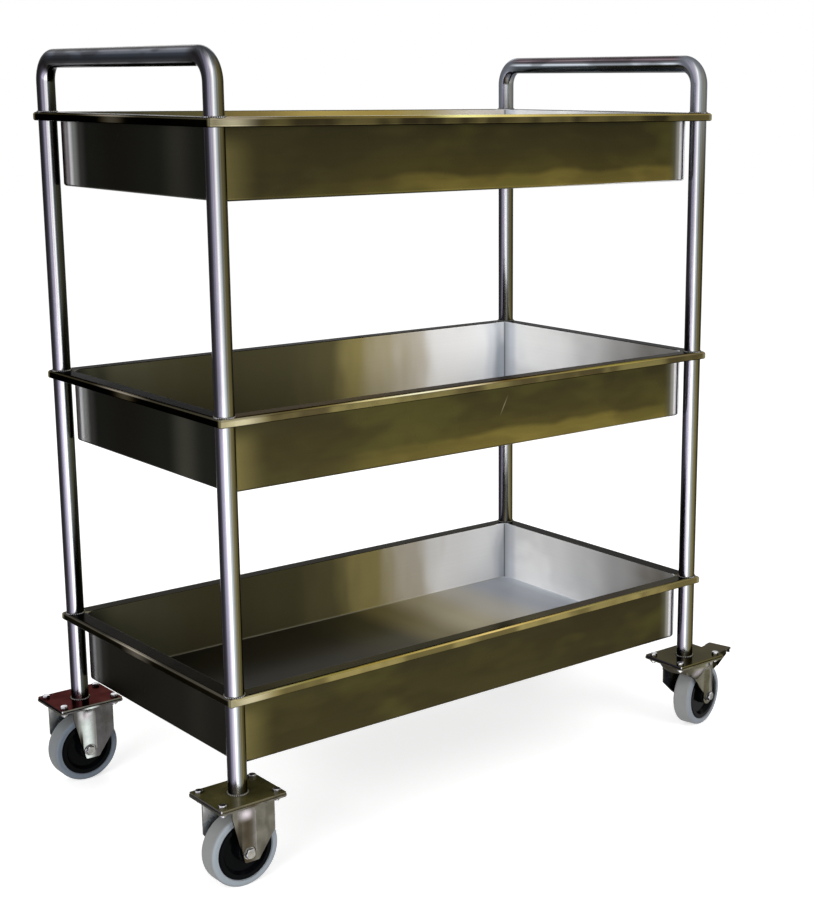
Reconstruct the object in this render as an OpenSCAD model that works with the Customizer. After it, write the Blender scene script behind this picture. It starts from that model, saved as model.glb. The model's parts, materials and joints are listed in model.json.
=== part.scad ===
// Three-tier trolley in stainless steel: two bent tube frames carry three deep folded trays.
// The left end stands on two fixed casters, the right end on two braked swivel casters.
// X runs along the long side, Y from front to back, Z up from the floor, in millimetres.
// The origin is on the floor, in the middle of the whole trolley with its brake pedals.

/* [Trays] */
// Length of a tray over its rim
tray_l = 860; // [640:10:1200]
// Width of a tray over its rim
tray_w = 480; // [360:10:700]
// Depth from the rim down to the tray floor
tray_depth = 100; // [50:5:160]
// Thickness of the tray sheet
sheet_t = 1.2; // [0.8:0.1:2]
// Width of the rim from its outer edge to the inside of the pan wall
flange_w = 24.5; // [22:0.5:40]
// Radius of the pan's upright corners
pan_corner_r = 16; // [8:1:30]
// Radius where the pan walls meet the floor
pan_edge_r = 4; // [3:0.5:7]
// Radius of the fold between the rim and the pan wall
mouth_r = 2; // [1:0.25:3]
// Height of the turned-down rim
rim_h = 12; // [9:1:20]
// Radius along the top edge of the rim
rim_top_r = 4; // [2.5:0.25:4.5]
// Radius along the lower edge of the rim
rim_low_r = 2.5; // [1.75:0.25:3.5]
// Width of the strip turned in under the rim
rim_return = 4; // [3:0.5:5]

/* [Frame] */
// Outer diameter of the frame tube
tube_d = 25.4; // [20:0.1:30]
// Wall of the frame tube
tube_wall = 1.5; // [1:0.1:2.5]
// Radius of the handle bends at the middle of the tube
bend_r = 32; // [26:1:60]
// Height of the lowest rim above the floor
low_rim_z = 260; // [245:5:330]
// Height from one rim to the next
tier_pitch = 363; // [250:1:420]
// Height of the handles above the top rim
handle_rise = 84.5; // [75:0.5:140]
// Room between a leg and the inside of the rim
leg_rim_gap = 0.6; // [0.4:0.1:1.5]
// Play of a leg in the hole through the rim
leg_hole_gap = 0.15; // [0.1:0.05:0.3]
// Leg length of the weld beads
bead = 2; // [1:0.25:3]

/* [Foot plates] */
// Length of the caster plates
plate_l = 100; // [98:1:120]
// Width of the caster plates
plate_w = 85; // [80:1:100]
// Length of the foot plates
foot_plate_l = 97; // [94:1:120]
// Width of the foot plates
foot_plate_w = 81; // [76:1:100]
// Thickness of the foot plates
foot_plate_t = 3; // [2:0.5:6]
// Corner radius of the foot plates
foot_plate_r = 2; // [1:0.5:5]
// Distance between plate bolts along the plate
bolt_pitch_l = 80; // [76:1:84]
// Distance between plate bolts across the plate
bolt_pitch_w = 60; // [56:1:64]
// Diameter of the plate bolts
bolt_d = 6; // [5:1:8]
// Width across the flats of the plate bolt heads
bolt_af = 10; // [9:0.5:12]
// Height of the plate bolt heads
bolt_head_h = 4; // [3:0.5:5]
// Thickness of the plate nuts
bolt_nut_h = 5; // [4:0.5:5.5]

/* [Wheels] */
// Diameter of the wheels
wheel_d = 100; // [90:1:110]
// Width of the tyres
tyre_w = 30; // [26:1:32]
// Thickness of the tyre on the hub
tyre_t = 10; // [7:0.5:14]
// Radius of the tyre's shoulders
shoulder_r = 5; // [2:0.5:7]
// Depth of the dished face of the hub
hub_dish = 6; // [3:0.5:9]
// Diameter of the hub boss
boss_d = 26; // [22:1:34]
// Outer diameter of the nylon bush in the hub
bush_d = 16; // [15:0.5:20]
// Outer diameter of the sleeve that the wheel turns on
sleeve_d = 12; // [11:0.5:13.5]
// Diameter of the axle bolts
axle_d = 8; // [6:0.5:9]
// Width across the flats of the axle bolt heads and nuts
axle_af = 13; // [12:0.5:17]
// Outer diameter of the axle washers
washer_d = 17; // [16:0.5:20]

/* [Casters] */
// Room between a tyre and the underside of a fork crown
crown_room = 11.5; // [10.5:0.25:14]
// Thickness of the caster plates
caster_plate_t = 2.5; // [2:0.25:4]
// Corner radius of the caster plates
caster_plate_r = 6; // [3:0.5:8]
// Thickness of the pressed fork legs
fork_t = 2.5; // [2:0.25:3.5]
// Clear width between the fork legs
fork_gap = 40; // [38:0.5:44]
// Height that the pressed ribs stand out of the fork legs
rib_h = 3.5; // [2:0.25:5]
// Width of the pressed ribs of the fixed forks
rib_w = 28; // [22:1:30]
// Width of the pressed ribs of the swivel forks
slim_rib_w = 20; // [16:1:22]
// Radius where a fixed fork leg runs into its plate
leg_fillet = 9; // [4:0.5:9]
// Distance from the swivel axis to the axle
trail = 40; // [36:1:44]
// Direction of the front right wheel from its swivel axis
front_right_turn = 13; // [-60:1:60]
// Direction of the back right wheel from its swivel axis
back_right_turn = -7; // [-60:1:60]
// Radius of the fork crown
crown_r = 39; // [37.5:0.5:41]
// Diameter of the swivel balls
ball_d = 6; // [5:0.5:6.5]
// Radius of the ball circle
ball_circle_r = 25; // [23:0.5:27]
// Number of swivel balls
ball_count = 20; // [12:1:22]
// Diameter of the kingpin
kingpin_d = 12; // [10:0.5:16]

/* [Brake] */
// Distance from the swivel axis to the brake pivot
brake_pivot_x = 46; // [44:0.5:48]
// Drop of the brake pivot below the underside of the fork crown
pivot_drop = 6; // [5:0.25:6.5]
// Diameter of the brake pivot pin
brake_pin_d = 5; // [4:0.5:5]
// Distance from the swivel axis to the end of the pedal
pedal_reach = 117; // [106:1:125]
// Width of the foot pad
pedal_w = 42; // [40:1:60]
// Thickness of the brake steel
brake_t = 2; // [1.5:0.25:2.5]

/* [Hidden] */
$fn = 64;

CORNERS = [
    ["front_left", -1, -1],
    ["back_left", -1, 1],
    ["front_right", 1, -1],
    ["back_right", 1, 1]
];

// Clearances
eps = 0.01;
run_gap = 0.05;
bolt_gap = 0.3;
face_gap = 0.5;
race_gap = 0.05;

// Frame and trays
tube_r = tube_d / 2;
leg_inset = tube_r + sheet_t + leg_rim_gap;
leg_x = tray_l / 2 - leg_inset;
leg_y = tray_w / 2 - leg_inset;
handle_z = low_rim_z + 2 * tier_pitch + handle_rise - tube_r;
pan_inset = flange_w - sheet_t;
pan_l = tray_l - 2 * pan_inset;
pan_w = tray_w - 2 * pan_inset;
pan_floor_z = -tray_depth;
mid_x = -(pedal_reach - plate_l / 2) / 2;

// Casters, stacked up from the floor: wheel, fork crown, balls, plate
race_drop = 4.5;
axle_z = wheel_d / 2;
crown_z = wheel_d + crown_room;
crown_top_z = crown_z + fork_t;
ball_z = crown_top_z + 0.25 * ball_d;
plate_z = ball_z + 0.25 * ball_d + race_drop;
caster_h = plate_z + caster_plate_t;
foot_z = caster_h + foot_plate_t;
fork_y = fork_gap / 2;
fork_out = fork_y + fork_t;
hub_r = axle_z - tyre_t;
hub_rim_t = 7;
hub_half = (fork_gap - 2 * face_gap) / 2;
sleeve_bore = axle_d + 2 * run_gap;
washer_t = 1.6;
axle_head_h = 5.3;
axle_nut_h = 8;
thread_end = 2;
bolt_end = 2;

// Swivel race
race_out_r = crown_r - 6;
cup_wall = 2.5;
cup_top_z = plate_z - 2;
kingpin_head_r = kingpin_d / 2 + 4;
kingpin_head_h = 4;

// Fork legs, as distances from the axle
leg_tip_r = 13.5;
leg_front_x = 41;
leg_rear_x = 22;
leg_front_z = 22;
tip_corner_r = 3;
tip_front_x = 17;
tip_rear_x = 6;
seat_r = washer_d / 2 + 1.5;

// Brake lever, as distances from the swivel axis and heights above the floor
brake_pivot_z = crown_z - pivot_drop;
pedal_z = brake_pivot_z + 6;
lever_y = fork_y - face_gap;
brake_head_r = brake_pin_d / 2 + 2;
shoe_gap = 3.4;

// A rectangle in plan with round corners
module rounded_plate(l, w, r) {
    square([l - 2 * r, w], center = true);
    square([l, w - 2 * r], center = true);
    for (sx = [-1, 1], sy = [-1, 1])
        translate([sx * (l / 2 - r), sy * (w / 2 - r)]) circle(r);
}

// A hexagon across its flats
module hexagon(af) {
    circle(d = af / cos(30), $fn = 6);
}

// A tub with upright round corners of radius rc and a lower edge of radius rb
module tub(l, w, h, rc, rb) {
    translate([0, 0, rb]) linear_extrude(h - rb) rounded_plate(l, w, rc);
    linear_extrude(rb + eps) rounded_plate(l - 2 * rb, w - 2 * rb, rc - rb);
    for (sx = [-1, 1], sy = [-1, 1])
        translate([sx * (l / 2 - rc), sy * (w / 2 - rc), rb])
            rotate_extrude()
                intersection() {
                    union() {
                        translate([rc - rb, 0]) circle(rb);
                        translate([0, -rb]) square([rc - rb, 2 * rb]);
                    }
                    translate([0, -rb]) square([rc, rb + eps]);
                }
    for (sy = [-1, 1])
        translate([0, sy * (w / 2 - rb), rb])
            rotate([0, 90, 0]) cylinder(r = rb, h = l - 2 * rc, center = true);
    for (sx = [-1, 1])
        translate([sx * (l / 2 - rb), 0, rb])
            rotate([90, 0, 0]) cylinder(r = rb, h = w - 2 * rc, center = true);
}

// Section across the rim: a bar of width l with its top and lower edges rounded
module rim_section(l, top_z, low_z, top_r, low_r) {
    h = top_z - low_z;
    translate([-l / 2, low_z + low_r]) square([l, h - top_r - low_r]);
    translate([-l / 2 + top_r, low_z + low_r]) square([l - 2 * top_r, h - low_r]);
    translate([-l / 2 + low_r, low_z]) square([l - 2 * low_r, h - top_r]);
    for (s = [-1, 1]) {
        translate([s * (l / 2 - top_r), top_z - top_r]) circle(top_r);
        translate([s * (l / 2 - low_r), low_z + low_r]) circle(low_r);
    }
}

// The rim as a mitred slab: the section along X meets the section along Y
module rim_slab(inset, top_z, low_z, top_r, low_r) {
    l = tray_l - 2 * inset;
    w = tray_w - 2 * inset;
    intersection() {
        rotate([90, 0, 0])
            linear_extrude(w, center = true) rim_section(l, top_z, low_z, top_r, low_r);
        rotate([90, 0, 90])
            linear_extrude(l, center = true) rim_section(w, top_z, low_z, top_r, low_r);
    }
}

// The corner of sheet that the fold at the mouth of the pan leaves out
module mouth_cut() {
    difference() {
        translate([-eps, -mouth_r]) square([mouth_r + eps, mouth_r + eps]);
        translate([mouth_r, -mouth_r]) circle(mouth_r);
    }
}

// The fold round the mouth of the pan
module mouth_round(l, w, rc) {
    for (s = [-1, 1]) {
        translate([0, s * w / 2, 0])
            rotate([90, 0, s > 0 ? 90 : -90])
                linear_extrude(l - 2 * rc, center = true) mouth_cut();
        translate([s * l / 2, 0, 0])
            rotate([90, 0, s > 0 ? 0 : 180])
                linear_extrude(w - 2 * rc, center = true) mouth_cut();
    }
    for (q = [0:3]) {
        sx = q == 0 || q == 3 ? 1 : -1;
        sy = q < 2 ? 1 : -1;
        translate([sx * (l / 2 - rc), sy * (w / 2 - rc), 0])
            rotate([0, 0, 90 * q])
                rotate_extrude(angle = 90) translate([rc, 0]) mouth_cut();
    }
}

// One folded tray, with the top of its rim at z = 0
module tray() {
    t = sheet_t;
    in_l = pan_l - 2 * t;
    in_w = pan_w - 2 * t;
    difference() {
        union() {
            difference() {
                rim_slab(0, 0, -rim_h, rim_top_r, rim_low_r);
                rim_slab(t, -t, -rim_h + t, rim_top_r - t, rim_low_r - t);
                translate([0, 0, -rim_h - eps])
                    linear_extrude(rim_h / 2)
                        square([tray_l - 2 * rim_return, tray_w - 2 * rim_return], center = true);
            }
            translate([0, 0, pan_floor_z - t])
                tub(pan_l, pan_w, tray_depth + t - eps, pan_corner_r, pan_edge_r);
        }
        translate([0, 0, pan_floor_z])
            tub(in_l, in_w, tray_depth + 1, pan_corner_r - t, pan_edge_r - t);
        mouth_round(in_l, in_w, pan_corner_r - t);
        for (sx = [-1, 1], sy = [-1, 1])
            translate([sx * leg_x, sy * leg_y, -rim_h - 1])
                cylinder(r = tube_r + leg_hole_gap, h = rim_h + 2);
    }
}

module top_tray() {
    color("#c9cbc6") translate([mid_x, 0, low_rim_z + 2 * tier_pitch]) tray();
}

module middle_tray() {
    color("#c9cbc6") translate([mid_x, 0, low_rim_z + tier_pitch]) tray();
}

module bottom_tray() {
    color("#c9cbc6") translate([mid_x, 0, low_rim_z]) tray();
}

// A solid bar along the route of one frame: leg, bend, handle, bend, leg
module frame_bar(r, foot_gap) {
    for (s = [-1, 1]) {
        translate([0, s * leg_y, foot_z - foot_gap])
            cylinder(r = r, h = handle_z - bend_r - foot_z + foot_gap);
        translate([0, s * (leg_y - bend_r), handle_z - bend_r])
            rotate([90, 0, s * 90])
                rotate_extrude(angle = 90) translate([bend_r, 0]) circle(r);
    }
    translate([0, 0, handle_z])
        rotate([90, 0, 0]) cylinder(r = r, h = 2 * (leg_y - bend_r), center = true);
}

// One bent tube: both legs of an end of the trolley and its handle
module frame_tube(side) {
    color("#d4d8dc")
        translate([mid_x + side * leg_x, 0, 0])
            difference() {
                frame_bar(tube_r, 0);
                frame_bar(tube_r - tube_wall, 1);
            }
}

// Ring of weld round a leg, with its flat face at z = 0 and its leg upwards
module weld_ring(r) {
    rotate_extrude()
        polygon([[r, 0], [r + bead, 0], [r + 0.7 * bead, 0.7 * bead], [r, bead]]);
}

module tray_weld_beads() {
    color("#bdbdb4")
        for (tier = [0:2], sx = [-1, 1], sy = [-1, 1])
            translate([mid_x + sx * leg_x, sy * leg_y, low_rim_z + tier * tier_pitch])
                intersection() {
                    weld_ring(tube_r);
                    translate([-sx * (tube_r + bead), -sy * (tube_r + bead), 0])
                        cube(2 * (2 * tube_r + bead + leg_rim_gap), center = true);
                }
}

module foot_weld_beads() {
    color("#bdbdb4")
        for (sx = [-1, 1], sy = [-1, 1])
            translate([mid_x + sx * leg_x, sy * leg_y, foot_z]) weld_ring(tube_r);
}

// Places a part at the leg of one corner
module at_leg(corner) {
    translate([mid_x + corner[1] * leg_x, corner[2] * leg_y, 0]) children();
}

// Places a part at each bolt of a plate
module at_bolts() {
    for (sx = [-1, 1], sy = [-1, 1])
        translate([sx * bolt_pitch_l / 2, sy * bolt_pitch_w / 2, 0]) children();
}

module foot_plate(corner) {
    color("#8d8668")
        at_leg(corner)
            translate([0, 0, caster_h])
                difference() {
                    linear_extrude(foot_plate_t)
                        rounded_plate(foot_plate_l, foot_plate_w, foot_plate_r);
                    at_bolts() translate([0, 0, -1])
                        cylinder(d = bolt_d + bolt_gap, h = foot_plate_t + 2);
                }
}

// A hexagon bolt with its head on z = 0 and its shank downwards
module hex_bolt(d, af, head_h, shank) {
    intersection() {
        linear_extrude(head_h) hexagon(af);
        rotate_extrude()
            polygon([[0, 0], [af / 2 * 1.12, 0], [af / 2 * 1.12, head_h * 0.72],
                     [af / 2 * 0.9, head_h], [0, head_h]]);
    }
    translate([0, 0, -shank]) cylinder(d = d, h = shank + eps);
}

// A hexagon nut with its top face at z = 0
module hex_nut(d, af, h) {
    translate([0, 0, -h])
        difference() {
            intersection() {
                linear_extrude(h) hexagon(af);
                rotate_extrude()
                    polygon([[0, 0], [af / 2 * 0.95, 0], [af / 2 * 1.12, h * 0.25],
                             [af / 2 * 1.12, h], [0, h]]);
            }
            translate([0, 0, -1]) cylinder(d = d + 2 * run_gap, h = h + 2);
        }
}

module plate_bolts(corner) {
    shank = foot_plate_t + caster_plate_t + bolt_nut_h + bolt_end;
    color("#e4e6e8")
        at_leg(corner)
            translate([0, 0, foot_z]) at_bolts() rotate([0, 0, 15])
                hex_bolt(bolt_d, bolt_af, bolt_head_h, shank);
}

module plate_nuts(corner) {
    color("#e4e6e8")
        at_leg(corner)
            translate([0, 0, plate_z]) at_bolts() rotate([0, 0, 15])
                hex_nut(bolt_d, bolt_af, bolt_nut_h);
}

// Flat caster plate with its underside at z = 0
module caster_plate() {
    difference() {
        linear_extrude(caster_plate_t) rounded_plate(plate_l, plate_w, caster_plate_r);
        at_bolts() translate([0, 0, -1])
            cylinder(d = bolt_d + 2 * bolt_gap, h = caster_plate_t + 2);
    }
}

// Where a line from the point p touches a circle of radius r round c
function touch(p, c, r, side) =
    let (d = p - c, a = atan2(d[1], d[0]) + side * acos(r / norm(d)))
    c + r * [cos(a), sin(a)];

// Outline of a fixed fork leg as seen from its own side of the wheel, cut off flat below
module fixed_leg_outline() {
    top = plate_z - axle_z + eps;
    rear = [-leg_rear_x, top - 20];
    front = [leg_front_x, leg_front_z];
    tips = [
        [tip_corner_r - tip_rear_x, tip_corner_r - leg_tip_r],
        [tip_front_x - tip_corner_r, tip_corner_r - leg_tip_r]
    ];
    translate([0, axle_z]) {
        for (tip = tips) translate(tip) circle(tip_corner_r);
        polygon([
            [-leg_rear_x, top], rear, touch(rear, tips[0], tip_corner_r, 1),
            [tips[0][0], -leg_tip_r], [tips[1][0], -leg_tip_r],
            touch(front, tips[1], tip_corner_r, -1), front, [leg_front_x, top]
        ]);
    }
    for (s = [-1, 1])
        translate([s < 0 ? -leg_rear_x : leg_front_x, plate_z - leg_fillet])
            difference() {
                translate([s < 0 ? -leg_fillet : 0, 0]) square([leg_fillet, leg_fillet + eps]);
                translate([s * leg_fillet, 0]) circle(leg_fillet);
            }
}

// Upright rib with a round top, lying on the face at y = 0 and standing out to -y
module pressed_rib(w, low_z, high_z) {
    r = (w * w / 4 + rib_h * rib_h) / (2 * rib_h);
    difference() {
        translate([0, r - rib_h, 0]) {
            translate([0, 0, low_z]) cylinder(r = r, h = high_z - low_z - w / 2);
            translate([0, 0, high_z - w / 2]) sphere(r, $fn = 96);
        }
        translate([-2 * r, eps, low_z - 2 * r])
            cube([4 * r, 2 * r, high_z - low_z + 4 * r]);
        translate([-2 * r, -2 * r, low_z - 2 * r]) cube([4 * r, 3 * r, 2 * r]);
    }
}

// The round seat of an axle bolt, which ends the rib above it
module bolt_seat() {
    rotate([90, 0, 0]) cylinder(r = seat_r, h = rib_h + 1);
}

// The leg on the near side of a fixed caster; the far one is the same part turned round
module fixed_leg() {
    translate([0, -fork_y, 0])
        rotate([90, 0, 0]) linear_extrude(fork_t) fixed_leg_outline();
    difference() {
        intersection() {
            translate([-1, -fork_out, 0]) pressed_rib(rib_w, axle_z, plate_z - 5);
            translate([0, -fork_y, 0])
                rotate([90, 0, 0]) linear_extrude(fork_t + rib_h + 1) fixed_leg_outline();
        }
        translate([0, -fork_out, axle_z]) bolt_seat();
    }
    translate([(leg_front_x - leg_rear_x) / 2, -fork_out, plate_z])
        rotate([90, 0, -90])
            linear_extrude(leg_front_x + leg_rear_x, center = true)
                difference() {
                    translate([-eps, -leg_fillet]) square([leg_fillet + eps, leg_fillet + eps]);
                    translate([leg_fillet, -leg_fillet]) circle(leg_fillet);
                }
}

module fixed_bracket(corner) {
    color("#a9a89e")
        at_leg(corner)
            difference() {
                union() {
                    translate([0, 0, plate_z]) caster_plate();
                    fixed_leg();
                    rotate([0, 0, 180]) fixed_leg();
                }
                translate([0, 0, axle_z])
                    rotate([90, 0, 0])
                        cylinder(d = axle_d + 2 * run_gap, h = 2 * fork_out + 2, center = true);
                at_bolts() translate([0, 0, plate_z - leg_fillet - 1]) {
                    cylinder(d = bolt_af / cos(30) + 2 * bolt_gap, h = leg_fillet + 1);
                    cylinder(d = bolt_d + 2 * bolt_gap, h = leg_fillet + caster_plate_t + 2);
                }
            }
}

// Caster plate of a swivel caster, with the upper ball race under it
module swivel_plate(corner) {
    color("#a9a89e")
        at_leg(corner)
            difference() {
                union() {
                    translate([0, 0, plate_z]) caster_plate();
                    translate([0, 0, plate_z - race_drop])
                        cylinder(r = race_out_r, h = race_drop + eps);
                }
                translate([0, 0, plate_z - race_drop - 1])
                    cylinder(d = kingpin_d + 2 * run_gap, h = race_drop + caster_plate_t + 2);
                translate([0, 0, ball_z])
                    rotate_extrude()
                        translate([ball_circle_r, 0]) circle(ball_d / 2 + race_gap);
            }
}

// Balls of the swivel, which run between the plate and the fork crown
module swivel_balls(corner, turn) {
    color("#dfe2e4")
        at_leg(corner)
            rotate([0, 0, turn])
                for (k = [0:ball_count - 1])
                    rotate([0, 0, k * 360 / ball_count])
                        translate([ball_circle_r, 0, ball_z]) sphere(d = ball_d, $fn = 24);
}

// Rivet that holds the fork crown up to the plate
module kingpin(corner) {
    color("#b9b9b2")
        at_leg(corner) {
            translate([0, 0, crown_z - run_gap - kingpin_head_h])
                rotate_extrude()
                    polygon([[0, 0], [kingpin_head_r - 2, 0], [kingpin_head_r, 2],
                             [kingpin_head_r, kingpin_head_h], [0, kingpin_head_h]]);
            translate([0, 0, crown_z - kingpin_head_h])
                cylinder(d = kingpin_d, h = caster_h - crown_z + kingpin_head_h);
        }
}

// Outline of the swivel fork leg on the side of -y, measured from the swivel axis
module slim_leg_outline() {
    polygon([
        [-30, crown_top_z - 1], [-30, crown_z - 6.5], [-26, crown_z - 7.5],
        [-14, crown_z - 14], [-2, crown_z - 22.5], [7, crown_z - 31],
        [13, crown_z - 39], [trail - leg_tip_r * 0.87, axle_z + leg_tip_r / 2],
        [trail, axle_z], [trail + leg_tip_r, axle_z], [trail + leg_tip_r, crown_z - 5],
        [trail + 8, crown_z - 1], [30, crown_top_z - 1]
    ]);
    translate([trail, axle_z]) circle(leg_tip_r);
}

// Outline of the broad swivel fork leg on the side of +y
module broad_leg_outline() {
    slim_leg_outline();
    polygon([
        [-29, crown_z], [-29, crown_z - 28], [-1, axle_z + 10],
        [8, axle_z + 4], [trail, axle_z], [trail, crown_z]
    ]);
}

// Cone that leads from the crown down into the legs, open below for the wheel
module fork_skirt() {
    low_r = fork_out + 2;
    low_z = crown_z - 21;
    difference() {
        rotate_extrude()
            polygon([
                [crown_r - cup_wall, cup_top_z], [crown_r - cup_wall, crown_z],
                [low_r - cup_wall, low_z], [low_r, low_z], [crown_r, crown_z],
                [crown_r, cup_top_z - 4], [crown_r - 1.7, cup_top_z]
            ]);
        translate([-crown_r - 1, -fork_y, low_z - 1])
            cube([2 * crown_r + 2, fork_gap, crown_z - low_z - 5]);
    }
}

// One side of the swivel fork, cut to the outline of its leg
module swivel_side(broad) {
    translate([0, -fork_y, 0])
        rotate([90, 0, 0])
            linear_extrude(fork_t)
                if (broad) broad_leg_outline(); else slim_leg_outline();
    intersection() {
        fork_skirt();
        rotate([90, 0, 0])
            linear_extrude(crown_r + 1) {
                if (broad) broad_leg_outline(); else slim_leg_outline();
                translate([-crown_r - 1, crown_z - 5.5])
                    square([2 * crown_r + 2, cup_top_z - crown_z + 6]);
            }
    }
    difference() {
        translate([trail - 2, -fork_out, 0])
            pressed_rib(slim_rib_w, axle_z, brake_pivot_z - brake_head_r - face_gap);
        translate([trail, -fork_out, axle_z]) bolt_seat();
    }
}

// Pressed fork of a swivel caster, in line with X from the swivel axis
module swivel_fork(corner, turn) {
    color("#a9a89e")
        at_leg(corner)
            rotate([0, 0, turn])
                difference() {
                    union() {
                        translate([0, 0, crown_z]) cylinder(r = crown_r - 1, h = fork_t);
                        swivel_side(false);
                        mirror([0, 1, 0]) swivel_side(true);
                    }
                    translate([0, 0, crown_z - 1])
                        cylinder(d = kingpin_d + 2 * run_gap, h = fork_t + 2);
                    translate([0, 0, ball_z])
                        rotate_extrude()
                            translate([ball_circle_r, 0]) circle(ball_d / 2 + race_gap);
                    for (hole = [[trail, axle_z, axle_d], [brake_pivot_x, brake_pivot_z, brake_pin_d]])
                        translate([hole[0], 0, hole[1]])
                            rotate([90, 0, 0])
                                cylinder(d = hole[2] + 2 * run_gap, h = 2 * crown_r, center = true);
                }
}

// Places a wheel part with its axle along Z at the axle of one corner
module at_axle(corner, offset, turn) {
    at_leg(corner) rotate([0, 0, turn]) translate([offset, 0, axle_z]) rotate([90, 0, 0]) children();
}

module axle_bolt(corner, offset, turn) {
    color("#d9dcdc")
        at_axle(corner, offset, turn) {
            translate([0, 0, fork_out]) cylinder(d = washer_d, h = washer_t);
            translate([0, 0, fork_out + washer_t])
                hex_bolt(axle_d, axle_af, axle_head_h,
                         2 * (fork_out + washer_t) + axle_nut_h + thread_end);
        }
}

module axle_nut(corner, offset, turn) {
    color("#d9dcdc")
        at_axle(corner, offset, turn)
            translate([0, 0, -fork_out]) {
                translate([0, 0, -washer_t]) hex_nut(axle_d, axle_af, axle_nut_h);
                translate([0, 0, -washer_t])
                    difference() {
                        cylinder(d = washer_d, h = washer_t);
                        translate([0, 0, -1]) cylinder(d = axle_d + 2 * run_gap, h = washer_t + 2);
                    }
            }
}

// Steel tube clamped between the fork legs, which the wheel turns on
module axle_sleeve(corner, offset, turn) {
    color("#c2c4c4")
        at_axle(corner, offset, turn)
            difference() {
                cylinder(d = sleeve_d, h = fork_gap, center = true);
                cylinder(d = sleeve_bore, h = fork_gap + 2, center = true);
            }
}

module hub_bush(corner, offset, turn) {
    color("#e9e6da")
        at_axle(corner, offset, turn)
            difference() {
                cylinder(d = bush_d, h = 2 * hub_half, center = true);
                cylinder(d = sleeve_d + 2 * run_gap, h = fork_gap, center = true);
            }
}

// Half section of the moulded hub, from its bore to the seat of the tyre
module hub_section() {
    half_w = tyre_w / 2;
    rim_in = hub_r - hub_rim_t;
    face = [
        [bush_d / 2, hub_half], [boss_d / 2 - 1, hub_half], [boss_d / 2, hub_half - 1],
        [boss_d / 2 + 1.5, half_w - hub_dish], [rim_in - 4, half_w - hub_dish],
        [rim_in - 1, half_w - 1.5], [rim_in, half_w], [hub_r - 2, half_w],
        [hub_r - 2, half_w - 0.8], [hub_r - 0.6, half_w - 0.8], [hub_r, half_w - 1.4]
    ];
    count = len(face);
    polygon(concat(face, [for (k = [1:count]) [face[count - k][0], -face[count - k][1]]]));
}

// Moulded hub with a dished face on either side
module wheel_hub(corner, offset, turn) {
    color("#16181a")
        at_axle(corner, offset, turn)
            rotate_extrude($fn = 96) hub_section();
}

// Half section of the tyre, with round shoulders and a slightly crowned tread
module tyre_section() {
    half_w = tyre_w / 2;
    outer = wheel_d / 2;
    intersection() {
        union() {
            translate([hub_r, -half_w + 1.4]) square([tyre_t - shoulder_r, tyre_w - 2.8]);
            translate([hub_r + 0.8, -half_w]) square([tyre_t - shoulder_r - 0.8, tyre_w]);
            translate([hub_r, -half_w + shoulder_r]) square([tyre_t, tyre_w - 2 * shoulder_r]);
            for (s = [-1, 1])
                translate([outer - shoulder_r, s * (half_w - shoulder_r)]) circle(shoulder_r);
        }
        translate([hub_r, -half_w]) square([tyre_t, tyre_w]);
    }
}

module tyre(corner, offset, turn) {
    color("#9b9d9d")
        at_axle(corner, offset, turn)
            rotate_extrude($fn = 96) tyre_section();
}

// Side view of a cheek of the brake lever
module lever_cheek_outline() {
    translate([brake_pivot_x, brake_pivot_z]) circle(d = brake_pin_d + 7);
    polygon([
        [brake_pivot_x - 2, brake_pivot_z + 6], [brake_pivot_x - 3, brake_pivot_z - 5],
        [trail + 23, brake_pivot_z - 16.5], [trail + 48, brake_pivot_z - 8.5],
        [pedal_reach - 14, pedal_z - 8], [pedal_reach - 14, pedal_z]
    ]);
}

// Foot pedal: a channel that straddles the tyre, with a pad behind and a shoe inside
module brake_pedal(corner, turn) {
    pad_l = 16;
    shoe_turn = 34;
    shoe_x = trail + (axle_z + shoe_gap) * sin(shoe_turn);
    shoe_z = axle_z + (axle_z + shoe_gap) * cos(shoe_turn);
    color("#6d6a5c")
        at_leg(corner)
            rotate([0, 0, turn])
                difference() {
                    union() {
                        for (s = [-1, 1])
                            translate([0, s * (lever_y - brake_t / 2) + brake_t / 2, 0])
                                rotate([90, 0, 0]) linear_extrude(brake_t) lever_cheek_outline();
                        translate([brake_pivot_x + 8, -lever_y, pedal_z - brake_t])
                            cube([pedal_reach - 14 - brake_pivot_x - 8, 2 * lever_y, brake_t]);
                        translate([pedal_reach - pad_l / 2, 0, pedal_z - brake_t])
                            linear_extrude(brake_t) rounded_plate(pad_l, pedal_w, 3);
                        translate([pedal_reach - brake_t, -pedal_w / 2 + 3, pedal_z - 9])
                            cube([brake_t, pedal_w - 6, 9 - brake_t / 2]);
                        translate([shoe_x, 0, shoe_z])
                            rotate([0, shoe_turn, 0])
                                translate([-6, -lever_y, 0]) cube([12, 2 * lever_y, brake_t]);
                        translate([shoe_x, -lever_y, shoe_z])
                            rotate([0, shoe_turn, 0])
                                translate([-1, 0, brake_t - eps])
                                    cube([brake_t, 2 * lever_y, 8]);
                    }
                    translate([brake_pivot_x, 0, brake_pivot_z])
                        rotate([90, 0, 0])
                            cylinder(d = brake_pin_d + 2 * run_gap, h = fork_gap, center = true);
                }
}

module brake_pin(corner, turn) {
    color("#d9dcdc")
        at_leg(corner)
            rotate([0, 0, turn])
                translate([brake_pivot_x, 0, brake_pivot_z])
                    rotate([90, 0, 0]) {
                        cylinder(d = brake_pin_d, h = 2 * fork_out, center = true);
                        for (s = [-1, 1])
                            translate([0, 0, s * (fork_out + 0.75)])
                                cylinder(r = brake_head_r, h = 1.5 + eps, center = true);
                    }
}

FL = CORNERS[0];
BL = CORNERS[1];
FR = CORNERS[2];
BR = CORNERS[3];

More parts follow.
